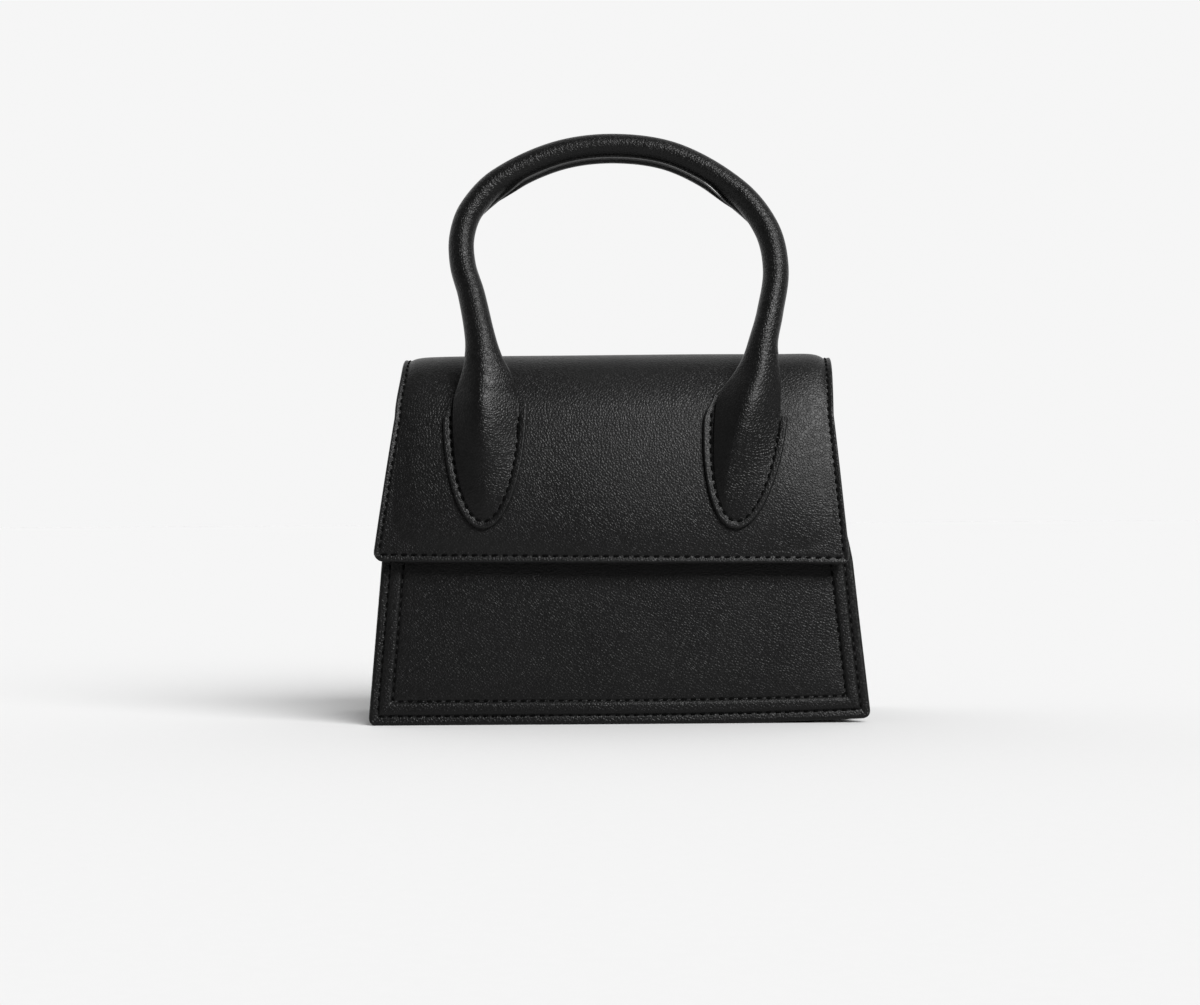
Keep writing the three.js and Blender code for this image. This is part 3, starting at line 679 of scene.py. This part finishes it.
def flap_profile():
    """Middle line of the flap in Y and Z, from below its front hem over the mouth to its back hem."""
    point = np.array([HEM_Y, FLAP_HEM])
    line = [point - FLAP_SPARE * np.array([math.sin(HEM_LEAN), math.cos(HEM_LEAN)])]
    for radius, first, last in FLAP_ARCS:
        lean = np.linspace(first, last, 40)
        line.extend(point + radius * stack(math.cos(first) - np.cos(lean), np.sin(lean) - math.sin(first)))
        point = line[-1]
    line.append(np.array([flap_back_y(FLAP_BACK_HEM), FLAP_BACK_HEM]))
    line = np.array(line)
    at = np.concatenate([[0], np.cumsum(np.linalg.norm(np.diff(line, axis=0), axis=1))])
    return at, line


def flap_back_y(z):
    return slope_depth(z) + GAP + FLAP_WALL / 2 + FLAP_BACK_EASE


# Places and lengths that follow from the flap's sizes
HEM_Y = -half_depth(FLAP_HEM) - FLAP_STANDOFF - FLAP_WALL / 2
FLAP_RIDGE = FLAP_TOP - FLAP_WALL / 2
FLAP_ROW_HEIGHT = FLAP_WALL / 2 + float(flap_relief(FLAP_ROW, FLAP_ROW))
FLAP_ARCS = flap_arcs()
FLAP_AT, FLAP_LINE = flap_profile()
FLAP_LENGTH = FLAP_AT[-1]


def flap_middle(at, step=0.5):
    """Y and Z of the flap's middle line, and the direction of the line, at a distance along it."""
    y, z = (np.interp(at, FLAP_AT, FLAP_LINE[:, k]) for k in (0, 1))
    ahead = [np.interp(at + step, FLAP_AT, FLAP_LINE[:, k]) for k in (0, 1)]
    behind = [np.interp(at - step, FLAP_AT, FLAP_LINE[:, k]) for k in (0, 1)]
    along = unit(stack(ahead[0] - behind[0], ahead[1] - behind[1]))
    return y, z, along[..., 0], along[..., 1]


def flap_half(z):
    upwards = np.clip((z - FLAP_HEM) / (FLAP_NARROW - FLAP_HEM), 0, 1)
    return lerp(FLAP_HEM_WIDTH, FLAP_TOP_WIDTH, upwards) / 2


def flap_swell(x, z):
    """How far the front stands out beyond its profile: a soft ridge down its middle, more on the right."""
    fade = np.clip(1 - (z - FLAP_HEM) / (SWELL_TOP - FLAP_HEM), 0, 1)
    half = flap_half(z)
    ridge = RIDGE_SLOPE * (np.hypot(RIDGE_WIDTH, half) - np.hypot(RIDGE_WIDTH, x))
    return fade * (ridge + FLAP_TWIST * x / half)


def flap_hem(across):
    """Where the hem lies on the profile: across runs from -1 on the left to 1 on the right."""
    return FLAP_SPARE - across * FLAP_HEM_WIDTH / 2 * math.tan(FLAP_HEM_TILT)


def flap_point(sign, from_side, from_hem, hem, height):
    """A point at a height above the flap's middle surface, and the outward normal there."""
    y, z, along_y, along_z = flap_middle(hem + from_hem)
    half = flap_half(z)
    drawn = ROLL_DRAW * smooth(z, *ROLL_HEIGHTS) * (np.asarray(sign) < 0)
    x = sign * (1 - drawn / half) * (half - from_side)
    swell = flap_swell(x, z) * np.maximum(along_z, 0) + bow(x, z) * np.maximum(-along_z, 0)
    aside = FLAP_SWAY * np.clip(1 - from_hem / FLAP_SWAY_END, 0, 1)
    point = stack(x + aside, BODY_SETBACK + y - along_z * (height + swell), z + along_y * height)
    return point, stack(0 * x, -along_z, along_y)


def flap_shell():
    stations = stations_across(44)[None, :]
    hem = flap_hem(stations / 2)
    middle = np.linspace(FLAP_SPARE + BORDER + 3, FLAP_LENGTH - BORDER, 110)
    back = (FLAP_LENGTH - BORDER_LINES[::-1])[1:]
    rows_along = np.concatenate([middle, back])[:, None]
    from_hem = np.concatenate([BORDER_LINES[:, None] + 0 * hem, rows_along - hem])
    flat_z = flap_middle(hem + from_hem)[1]
    side, end = round_corner(from_edge(stations, flap_half(flat_z)), from_hem, FLAP_CORNER)
    to_end = np.minimum(end / HEM_STRETCH, FLAP_LENGTH - hem - end)
    to_edge = np.minimum(side, to_end)
    field = soft_least(side, to_end, FLAP_ROUND)
    relief = flap_relief(to_edge, field, smooth(flat_z, *ROLL_HEIGHTS), ROLL_TILT * stations / 2)
    lift = relief + FLAP_RIPPLE * ripple(stations * 40, end, 2) * smooth(to_edge, *FLAP_RIPPLE_FROM)
    outer = flap_point(np.sign(stations), side, end, hem, FLAP_WALL / 2 + lift)[0]
    inner = flap_point(np.sign(stations), side, end, hem, -FLAP_WALL / 2)[0]
    return leather_shell(outer, inner)


def flap_side_row(sign):
    """Path up one side of the flap, over the top and down to the back hem."""
    hem = flap_hem(np.array(float(sign)))
    from_hem = np.linspace(FLAP_CORNER, FLAP_LENGTH - hem - FLAP_ROW, 240)
    return flap_point(sign, FLAP_ROW, from_hem, hem, FLAP_ROW_HEIGHT)


def flap_end_row(back):
    """Path across the flap inside its front hem or its back hem."""
    across = np.linspace(-1, 1, 160) * (1 - 2 * FLAP_ROW / FLAP_TOP_WIDTH)
    hem = flap_hem(across)
    end = FLAP_LENGTH - hem - FLAP_ROW if back else np.full_like(across, FLAP_ROW * HEM_STRETCH)
    half = flap_half(flap_middle(hem + end)[1])
    return flap_point(np.sign(across), half * (1 - np.abs(across)), end, hem, FLAP_ROW_HEIGHT)


# Handle

# Steps of its meshes, and the distance over which its direction is taken
TAB_STEPS = 26
GRIP_STEPS = 380
GRIP_SIDES = 60
SEAM_STEPS = 900
FRAME_SPAN = 4.5

# Direction out of its plane, and the height where the grip leaves the flap
HANDLE_NORMAL = np.array([0, -math.cos(HANDLE_LEAN), math.sin(HANDLE_LEAN)])
GRIP_LEAVES = FLAP_HEM + FLAP_ARCS[0][0] * (math.sin(HANDLE_LEAN) - math.sin(HEM_LEAN))


def flap_front_y(z):
    top = np.argmax(FLAP_LINE[:, 1]) + 1
    return np.interp(z, FLAP_LINE[:top, 1], FLAP_LINE[:top, 0])


def above_face(x, z, height, is_grip):
    """A point above the flap's front. Margins follow it, and the grip goes straight on where it leaves."""
    low = np.minimum(z, GRIP_LEAVES) if is_grip else z
    middle = flap_front_y(low) + (z - low) * math.tan(HANDLE_LEAN)
    edge = soft_least(flap_half(z) - np.abs(x), (z - FLAP_HEM) / HEM_STRETCH, FLAP_ROUND)
    thick = FLAP_WALL / 2 + flap_relief(edge, edge) + GAP
    point = stack(x, BODY_SETBACK + middle - thick / math.cos(HANDLE_LEAN) - flap_swell(x, z), z)
    return point + np.asarray(height)[..., None] * HANDLE_NORMAL


def tab_knots(tab):
    """Knots of a padded end: x, z, half width, depth in front, depth behind, height above the flap, share
    of the way to a round rod, squareness and place of the ridge."""
    angle = np.linspace(0, np.pi / 2, TAB_STEPS + 1)[1:]
    along = 1 - np.cos(angle)
    x = lerp(tab["x"], tab["neck"], along)
    z = tab["z"] + TAB_MARGIN + (TAB_LENGTH - TAB_MARGIN) * along
    half = (TAB_WIDTH / 2 - TAB_MARGIN) * np.sin(angle)
    front = lerp(DOME_SLOPE * half * along**DOME_RISE, DOME_FRONT, smooth(along, DOME_START, 1))
    back = lerp(DOME_TIP, DOME_BACK, along)
    ridge = lerp(*tab["ridge"], along)
    return stack(x, z, half, front, back, TAB_WALL / 2, 0, DOME_SQUARE, ridge)


def grip_knots():
    """Knots of the grip, in the same columns."""
    x, z, half = np.array(GRIP).T
    turned = smooth(z, NECK_START, NECK_TOP)
    rod = np.minimum(half, ROD_DEPTH)
    front = lerp(DOME_FRONT, rod, turned)
    back = lerp(DOME_BACK, rod, turned)
    raised = lerp(TAB_WALL / 2, 0, turned)
    ridge = np.where(x < 0, TABS[0]["ridge"][1], TABS[1]["ridge"][1])
    square = lerp(DOME_SQUARE, ROD_SQUARE, turned)
    return stack(x, z, half, front, back, raised, turned, square, ridge)


# All knots of the handle, and their distances along its centre line
HANDLE_KNOTS = np.concatenate([tab_knots(TABS[0]), grip_knots(), tab_knots(TABS[1])[::-1]])
HANDLE_AT = np.concatenate([[0], np.cumsum(np.linalg.norm(np.diff(HANDLE_KNOTS[:, :2], axis=0), axis=1))])


def handle_columns(places):
    """Every column of the handle's knots at distances along its centre line, smoothly interpolated."""
    slopes = np.empty_like(HANDLE_KNOTS)
    slopes[1:-1] = (HANDLE_KNOTS[2:] - HANDLE_KNOTS[:-2]) / (HANDLE_AT[2:] - HANDLE_AT[:-2])[:, None]
    slopes[0], slopes[-1] = slopes[1], slopes[-2]
    j = np.clip(np.searchsorted(HANDLE_AT, places), 1, len(HANDLE_AT) - 1)
    span = (HANDLE_AT[j] - HANDLE_AT[j - 1])[:, None]
    t = np.clip((places - HANDLE_AT[j - 1])[:, None] / span, 0, 1)
    p, q = HANDLE_KNOTS[j - 1], HANDLE_KNOTS[j]
    m, n = slopes[j - 1] * span, slopes[j] * span
    return (p + t * m + t**2 * (3 * (q - p) - 2 * m - n) + t**3 * (2 * (p - q) + m + n)).T


def handle_centre(places):
    x, z, _, _, back, raised = handle_columns(places)[:6]
    return above_face(x, z, back + raised, is_grip=True)


def handle_frame(places):
    along = unit(handle_centre(places + FRAME_SPAN) - handle_centre(places - FRAME_SPAN))
    inward = unit(np.cross(along, HANDLE_NORMAL))
    return handle_centre(places), inward, np.cross(inward, along)


def signed_power(value, exponent):
    return np.sign(value) * np.abs(value) ** exponent


def dome_section(across, ridge):
    """Height of a padded end over its width: two nearly flat flanks that meet in a soft ridge."""
    flank = np.abs(across - ridge) / np.where(across > ridge, 1 - ridge, 1 + ridge)
    rim = math.hypot(1, DOME_RIDGE)
    return (rim - np.hypot(flank, DOME_RIDGE)) / (rim - DOME_RIDGE)


def handle_rings(places, sides):
    centre, inward, forward = handle_frame(places)
    _, _, half, front, back, _, turned, square, ridge = (c[:, None] for c in handle_columns(places))
    angle = np.linspace(0, 2 * np.pi, sides, endpoint=False)[None]
    in_front = np.sin(angle) > 0
    across = half * signed_power(np.cos(angle), np.where(in_front, 1, 2 / square))
    over = front * lerp(dome_section(np.cos(angle), ridge), np.abs(np.sin(angle)), turned)
    under = back * signed_power(np.sin(angle), 2 / square)
    out = np.where(in_front, over, under)
    return centre[:, None] - inward[:, None] * across[..., None] + forward[:, None] * out[..., None]


def closed_tube(rings):
    """Points and faces of a tube over rings, closed at both ends."""
    count, sides = rings.shape[:2]
    points = np.concatenate([rings.reshape(-1, 3), rings[:1].mean(axis=1), rings[-1:].mean(axis=1)])
    faces = tube_faces(count, sides)
    tip, end = count * sides, count * sides + 1
    last = (count - 1) * sides
    for i in range(sides):
        k = (i + 1) % sides
        faces.append((tip, k, i))
        faces.append((end, last + i, last + k))
    return points, faces


# Creases of the grip: the attribute that places them, their pitch and length, and the share on the ends
CREASES = "creases"
CREASE_PITCH = 1.2
CREASE_LENGTH = 3.6
TAB_CREASE = 0.2


def crease_places(places):
    """Coordinates that run along and around the grip, and hardly change on its flat ends."""
    _, _, half, _, _, _, turned, _, _ = handle_columns(places)
    angle = np.linspace(0, 2 * np.pi, GRIP_SIDES, endpoint=False)[None]
    share = lerp(TAB_CREASE, 1, turned)
    along = np.cumsum(share * np.gradient(places))[:, None] / CREASE_PITCH
    around = (share * half)[:, None] / CREASE_LENGTH
    drawn = stack(along, around * np.cos(angle), around * np.sin(angle)).reshape(-1, 3)
    return np.concatenate([drawn, drawn[:1], drawn[-1:]])


def grip_piece(materials):
    left, right = HANDLE_AT[:TAB_STEPS], HANDLE_AT[-TAB_STEPS:]
    places = np.concatenate([left, np.linspace(left[-1], right[0], GRIP_STEPS)[1:-1], right])
    points, faces = closed_tube(handle_rings(places, GRIP_SIDES))
    grip = make_object("handle_grip", points, faces, materials)
    creases = grip.data.attributes.new(CREASES, "FLOAT_VECTOR", "POINT")
    creases.data.foreach_set("vector", crease_places(places).ravel())
    return grip


def seam_places():
    places = np.linspace(0, HANDLE_AT[-1], SEAM_STEPS)
    return places[handle_columns(places)[1] > FIN_START]


def seam_frame(places):
    """The seam's outward and sideways directions: behind the legs, and under the arch."""
    centre, inward, forward = handle_frame(places)
    x, z, half = handle_columns(places)[:3]
    behind = np.radians(lerp(*FIN_ANGLES, smooth(np.abs(x), FIN_UNDER, FIN_BEHIND)))[:, None]
    outward = inward * np.cos(behind) - forward * np.sin(behind)
    sideways = inward * np.sin(behind) + forward * np.cos(behind)
    reach = half + FIN_REACH * smooth(z, FIN_START, FIN_FULL)
    return centre, outward, sideways, half, reach


# Section of the raised seam: how far out, from 0 at the grip's surface to 1 at the seam's edge, and how far
# in front of its middle. A glazed bead runs where the front layer ends, and the back layer shows under it.
SEAM_SECTION = (
    (-1.5, -0.9),
    (0.85, -0.95),
    (1.0, -0.75),
    (1.0, 0.2),
    (0.92, 0.6),
    (0.54, 0.9),
    (0.52, 2.0),
    (0.46, 2.3),
    (0.34, 2.35),
    (0.22, 2.1),
    (-1.5, 1.2),
)
SEAM_BEAD = (5, 6, 7, 8)


def seam_piece(materials):
    """The handle's raised seam, which lies under the arch and behind the legs."""
    centre, outward, sideways, half, reach = seam_frame(seam_places())
    rings = []
    for out, side in SEAM_SECTION:
        rings.append(centre + outward * lerp(half, reach, out)[:, None] + sideways * side)
    points, faces = closed_tube(np.stack(rings[::-1], axis=1))
    glazed = np.isin(np.arange(len(SEAM_SECTION))[::-1] - 1, SEAM_BEAD)
    slots = np.zeros(len(faces), dtype=int)
    slots[: len(faces) - 2 * len(SEAM_SECTION)] = np.tile(glazed, len(rings[0]) - 1)
    return make_object("handle_seam", points, faces, materials, slots)


def tab_plane(tab, across, up, height):
    """A point on a tab: across its axis and up from its tip, at a height above the flap."""
    tilt = math.atan2(tab["lean"], TAB_LENGTH)
    x = tab["x"] + across * math.cos(tilt) + up * math.sin(tilt)
    z = tab["z"] + up * math.cos(tilt) - across * math.sin(tilt)
    return above_face(x, z, height + 0 * x, is_grip=False)


def tab_outline(angle, inset):
    """Half an ellipse from the left top round the tip to the right top, at an inset from the edge."""
    across = -(TAB_WIDTH / 2 - inset) * np.cos(angle)
    up = TAB_LENGTH - (TAB_LENGTH - inset) * np.sin(angle)
    return across, up


def margin_taper(tab, angle):
    """How far the margin's edge draws in where it narrows up the left side of the neck."""
    return MARGIN_TAPER * smooth(-angle, -TAPER_START, -tab["ends"][0])


def margin_shell(tab):
    angle = np.linspace(*tab["ends"], 240)[None, :]
    inset = np.concatenate([np.linspace(0, 1, 8), np.linspace(1.15, MARGIN_REACH, 24)])[:, None]
    across, up = tab_outline(angle, inset + margin_taper(tab, angle) * (1 - inset / MARGIN_REACH))
    sewn = smooth(angle, 0, SEWN_FADE) * smooth(np.pi - angle, 0, SEWN_FADE)
    lip = edge_lip(inset, TAB_ROW, height=0.3, roll=0.6)
    outer = tab_plane(tab, across, up, MARGIN_WALL + lip + sewn * groove(inset, TAB_ROW))
    inner = tab_plane(tab, across, up, 0)
    return leather_shell(outer, inner)


def tab_row(tab, ends=TAB_ROW_ENDS):
    angle = np.linspace(*ends, 160)
    across, up = tab_outline(angle, np.full_like(angle, TAB_ROW))
    path = tab_plane(tab, across, up, TAB_ROW_HEIGHT)
    return path, np.repeat(HANDLE_NORMAL[None], len(path), axis=0)


# Materials


def new_material(name):
    material = bpy.data.materials.new(name)
    material.use_nodes = True
    tree = material.node_tree
    return material, tree, tree.nodes["Principled BSDF"]


def grey(tone):
    return (tone, tone, tone, 1)


def fill(tree, node, values=(), **inputs):
    """Link or set the inputs of a node: values in order, and the others by name."""
    filled = list(zip(node.inputs, values))
    filled += [(node.inputs[key.replace("_", " ")], value) for key, value in inputs.items()]
    for socket, value in filled:
        if isinstance(value, bpy.types.NodeSocket):
            tree.links.new(value, socket)
        else:
            socket.default_value = value


def add_node(tree, kind, settings=None, values=(), **inputs):
    node = tree.nodes.new(kind)
    for key, value in (settings or {}).items():
        setattr(node, key, value)
    fill(tree, node, values, **inputs)
    return node


def add_noise(tree, place, **inputs):
    return add_node(tree, "ShaderNodeTexNoise", Vector=place, **inputs).outputs


def add_bump(tree, height, distance, strength=1.0, **below):
    """Normals of a bump, on top of the normals of another one if they are given."""
    bump = add_node(tree, "ShaderNodeBump", Height=height, Distance=distance, Strength=strength, **below)
    return bump.outputs["Normal"]


def map_range(tree, value, source, target=(0, 1), kind="LINEAR"):
    """A value carried over from one range to another."""
    node = add_node(tree, "ShaderNodeMapRange", {"interpolation_type": kind}, Value=value)
    fill(tree, node, From_Min=source[0], From_Max=source[1], To_Min=target[0], To_Max=target[1])
    return node.outputs["Result"]


def grey_mix(tree, share, dark, light):
    mix = add_node(tree, "ShaderNodeMix", {"data_type": "RGBA"}, Factor=share, A=grey(dark), B=grey(light))
    return mix.outputs["Result"]


def object_place(tree):
    return add_node(tree, "ShaderNodeTexCoord").outputs["Object"]


# Leather: sizes as shares of a grain cell, tones, the slow waves of the hide, and a faint sheen
STIR_SCALE = 0.35
STIR_REACH = 0.5
ISLAND_EDGE = 0.3
PORE_SCALE = 3.0
PORE_DEPTH = 0.35
LEATHER_TONES = (0.002, 0.0035)
HIDE_SCALE = 38.0
HIDE_RANGE = (0.3, 0.7)
HIDE_WAVE = 0.8
HIDE_STRENGTH = 0.12
GLOSSIER = 0.04
DULLER = 0.05
SHEEN = 0.08
SHEEN_ROUGHNESS = 0.3


def grain_height(tree, place, cell):
    """Pebble grain: rounded islands about one cell wide, with fine creases between them."""
    size = cell * MM
    stir = add_noise(tree, place, Scale=STIR_SCALE / size, Detail=2.0)["Color"]
    moved = [stir, (STIR_REACH * size,) * 3, place]
    stirred = add_node(tree, "ShaderNodeVectorMath", {"operation": "MULTIPLY_ADD"}, moved).outputs[0]
    edges = {"feature": "DISTANCE_TO_EDGE"}
    islands = add_node(tree, "ShaderNodeTexVoronoi", edges, Vector=stirred, Scale=1 / size)
    rounded = map_range(tree, islands.outputs["Distance"], (0, ISLAND_EDGE), kind="SMOOTHSTEP")
    pores = add_noise(tree, place, Scale=PORE_SCALE / size, Detail=3.0)["Fac"]
    layers = [pores, PORE_DEPTH, rounded]
    return add_node(tree, "ShaderNodeMath", {"operation": "MULTIPLY_ADD"}, layers).outputs[0]


def crease_height(tree):
    """Short creases across the grip, drawn in coordinates that run along it."""
    place = add_node(tree, "ShaderNodeAttribute", {"attribute_name": CREASES}).outputs["Vector"]
    return add_noise(tree, place, Scale=1.0, Detail=2.0)["Fac"]


def leather_material(name, cell, bump, rough, gloss, crease=0):
    """Grained leather: its colour follows the grain, and its gloss varies slowly over the hide."""
    material, tree, shader = new_material(name)
    place = object_place(tree)
    grain = grain_height(tree, place, cell)
    hide = add_noise(tree, place, Scale=HIDE_SCALE, Detail=4.0, Roughness=0.55)["Fac"]
    normal = add_bump(tree, hide, HIDE_WAVE * MM, HIDE_STRENGTH)
    normal = add_bump(tree, grain, bump * MM, Normal=normal)
    if crease:
        normal = add_bump(tree, crease_height(tree), crease * MM, Normal=normal)
    colour = grey_mix(tree, grain, *LEATHER_TONES)
    roughness = map_range(tree, hide, HIDE_RANGE, (rough - GLOSSIER, rough + DULLER))
    fill(tree, shader, Base_Color=colour, Roughness=roughness, Specular_IOR_Level=gloss, Normal=normal)
    fill(tree, shader, Sheen_Weight=SHEEN, Sheen_Roughness=SHEEN_ROUGHNESS)
    return material


def plain_material(name, tone, rough, grain, depth, metallic=0.0, gloss=0.5, vary=0.25):
    """A finish with a fine even grain: painted edges, thread, suede and metal."""
    material, tree, shader = new_material(name)
    noise = add_noise(tree, object_place(tree), Scale=1 / (grain * MM), Detail=3.0)["Fac"]
    colour = grey_mix(tree, noise, (1 - vary) * tone, (1 + vary) * tone)
    normal = add_bump(tree, noise, depth * MM)
    fill(tree, shader, Base_Color=colour, Roughness=rough, Specular_IOR_Level=gloss, Normal=normal)
    fill(tree, shader, Metallic=metallic)
    return material


# The bag

LEATHER = leather_material("black_grained_leather", cell=1.0, bump=0.072, rough=0.4, gloss=0.19)
HIDE = leather_material("black_rolled_leather", cell=1.0, bump=0.065, rough=0.35, gloss=0.16, crease=0.24)
EDGE = plain_material("black_edge_paint", tone=0.005, rough=0.45, grain=0.5, depth=0.03, gloss=0.2)
GLAZE = plain_material("black_glazed_edge", tone=0.01, rough=0.35, grain=0.5, depth=0.01, gloss=1.0)
SUEDE = plain_material("black_suede_side", tone=0.008, rough=0.85, grain=0.12, depth=0.06)
THREAD = plain_material("black_thread", tone=0.0012, rough=0.9, grain=0.15, depth=0.05, gloss=0.06)
STEEL = plain_material("plated_steel", tone=0.5, rough=0.3, grain=0.4, depth=0.01, metallic=1.0)
SKIN = [LEATHER, EDGE, SUEDE]


def add_piece(piece, slot, *nodes):
    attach(piece, "root")
    if nodes:
        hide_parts(*nodes)
    return piece


def add_stitches(name, rows, slot, **options):
    rows = [stitch_row(path, normals, seed, **options) for seed, (path, normals) in enumerate(rows)]
    return add_piece(leather_piece(name, joined(rows), [THREAD]), slot)


def add_leather(name, shell, slot, node):
    add_piece(leather_piece(name, shell, SKIN), slot, node)


def add_body():
    add_leather("front_leather", panel_shell(-1, front_relief, CORNER_CURL), "body_leather", "front_panel")
    add_leather("back_leather", panel_shell(1, back_relief, 0), "body_leather", "back_panel")
    for name, side in (("gusset_left", -1), ("gusset_right", 1)):
        add_leather(f"{name}_leather", gusset_shell(side), "gusset_leather", name)
    add_leather("base_leather", base_shell(), "gusset_leather", "base_panel")
    front = [panel_row(-1, inset, front_relief, CORNER_CURL) for inset in FRONT_ROWS]
    add_stitches("front_stitches", front, "body_leather")
    add_stitches("back_stitches", [panel_row(1, BACK_ROW, back_relief, 0)], "body_leather")


def add_flap():
    add_leather("flap_leather", flap_shell(), "flap_leather", "flap")
    ends = [flap_end_row(back) for back in (False, True)]
    add_stitches("flap_end_stitches", ends, "flap_leather", pitch=3.6, length=2.35)
    sides = [flap_side_row(sign) for sign in (-1, 1)]
    add_stitches("flap_side_stitches", sides, "flap_leather", pitch=3.05, length=1.95, radius=0.38)
    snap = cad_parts["magnetic_snap"].data
    snap.materials.clear()
    snap.materials.append(STEEL)


def add_handle():
    grip = add_piece(grip_piece([HIDE]), "handle_leather", "handle")
    add_piece(seam_piece([LEATHER, GLAZE]), "handle_leather")
    margins = joined([margin_shell(tab) for tab in TABS])
    add_piece(leather_piece("handle_margins", margins, SKIN), "handle_leather")
    add_stitches("tab_stitches", [tab_row(tab) for tab in TABS], "handle_leather")
    tacks = [tab_row(tab, tab["tacks"]) for tab in TABS]
    add_stitches("tab_tacks", tacks, "handle_leather", pitch=2.2, length=2.5, radius=0.6, slant=0.25)


# The studio, in metres

# Floor and backdrop
FLOOR_SIZE = 8.0
FLOOR_TONE = 0.8
BACKDROP_TONE = 0.92

# Lights: a key in front on the right, and a sun from the same side for the floor
KEY_AZIMUTH = math.radians(36)
KEY_ELEVATION = math.radians(40)
KEY_AIM = Vector((0, 0, 0.1))
KEY_DISTANCE = 1.2
KEY_SIZE = 0.6
KEY_POWER = 24.5
SUN_POWER = 3.42
SUN_SPREAD = math.radians(45)

# Light of the room, from its front to its back, and the fill on the left: ranges of direction, and levels
ROOM_RANGE = (-0.3, 0.6)
ROOM_LEVELS = (0.1, 1.15)
FILL_RANGE = (-0.9, -0.2)
FILL_LEVELS = (0.2, 0.0)

# The camera, level and slightly rolled
CAMERA_PLACE = (-0.0066, -0.89553, 0.0802)
CAMERA_TURN = (math.radians(90), math.radians(0.37), 0)
SENSOR_WIDTH = 36
LENS = 71.39


def add_floor():
    far = FLOOR_SIZE
    corners = [(-far, -far, 0), (far, -far, 0), (far, far, 0), (-far, far, 0)]
    mesh = bpy.data.meshes.new("floor")
    mesh.from_pydata(corners, [], [(0, 1, 2, 3)])
    pale = dict(tone=FLOOR_TONE, rough=1.0, grain=4.0, depth=0.0, gloss=0.0, vary=0.01)
    mesh.materials.append(plain_material("pale_floor", **pale))
    floor = bpy.data.objects.new("floor", mesh)
    bpy.context.scene.collection.objects.link(floor)
    return floor


def key_direction():
    level = math.cos(KEY_ELEVATION)
    return Vector((level * math.sin(KEY_AZIMUTH), -level * math.cos(KEY_AZIMUTH), math.sin(KEY_ELEVATION)))


def add_light(name, kind, power, floor, on_floor):
    """A light on the key side that falls either on the floor or on everything else."""
    lamp = bpy.data.lights.new(name, kind)
    lamp.energy = power
    light = bpy.data.objects.new(name, lamp)
    light.location = KEY_AIM + KEY_DISTANCE * key_direction()
    light.rotation_euler = (-key_direction()).to_track_quat("-Z", "Y").to_euler()
    bpy.context.scene.collection.objects.link(light)
    lit = bpy.data.collections.new(name + "_receivers")
    lit.objects.link(floor)
    light.light_linking.receiver_collection = lit
    lit.collection_objects[0].light_linking.link_state = "INCLUDE" if on_floor else "EXCLUDE"
    return lamp


def add_lights(floor):
    """A large soft key, near enough to fall off to the left, and an even light from there for the floor."""
    key = add_light("key", "AREA", KEY_POWER, floor, on_floor=False)
    key.shape = "DISK"
    key.size = KEY_SIZE
    sun = add_light("floor_light", "SUN", SUN_POWER, floor, on_floor=True)
    sun.angle = SUN_SPREAD


def add_world():
    """Pale all round to the camera; to the bag, dimmer in front than behind, with a fill from the left."""
    world = bpy.data.worlds.new("studio")
    world.use_nodes = True
    tree = world.node_tree
    tree.nodes.clear()
    direction = add_node(tree, "ShaderNodeTexCoord").outputs["Generated"]
    axes = add_node(tree, "ShaderNodeSeparateXYZ", Vector=direction).outputs
    room = map_range(tree, axes["Y"], ROOM_RANGE, ROOM_LEVELS)
    side = map_range(tree, axes["X"], FILL_RANGE, FILL_LEVELS)
    level = add_node(tree, "ShaderNodeMath", {"operation": "ADD"}, [room, side]).outputs[0]
    lighting = add_node(tree, "ShaderNodeBackground", Strength=level).outputs[0]
    pale = add_node(tree, "ShaderNodeBackground", Color=grey(BACKDROP_TONE), Strength=1.0).outputs[0]
    seen = add_node(tree, "ShaderNodeLightPath").outputs["Is Camera Ray"]
    either = add_node(tree, "ShaderNodeMixShader", values=[seen, lighting, pale]).outputs[0]
    add_node(tree, "ShaderNodeOutputWorld", Surface=either)
    bpy.context.scene.world = world


def add_camera():
    lens = bpy.data.cameras.new("camera")
    lens.sensor_width = SENSOR_WIDTH
    lens.lens = LENS
    camera = bpy.data.objects.new("camera", lens)
    camera.location = CAMERA_PLACE
    camera.rotation_euler = CAMERA_TURN
    bpy.context.scene.collection.objects.link(camera)
    bpy.context.scene.camera = camera


def add_studio():
    add_world()
    add_lights(add_floor())
    add_camera()
    settings = bpy.context.scene.view_settings
    settings.view_transform = "Standard"
    settings.look = "None"


add_body()
add_flap()
add_handle()
add_studio()
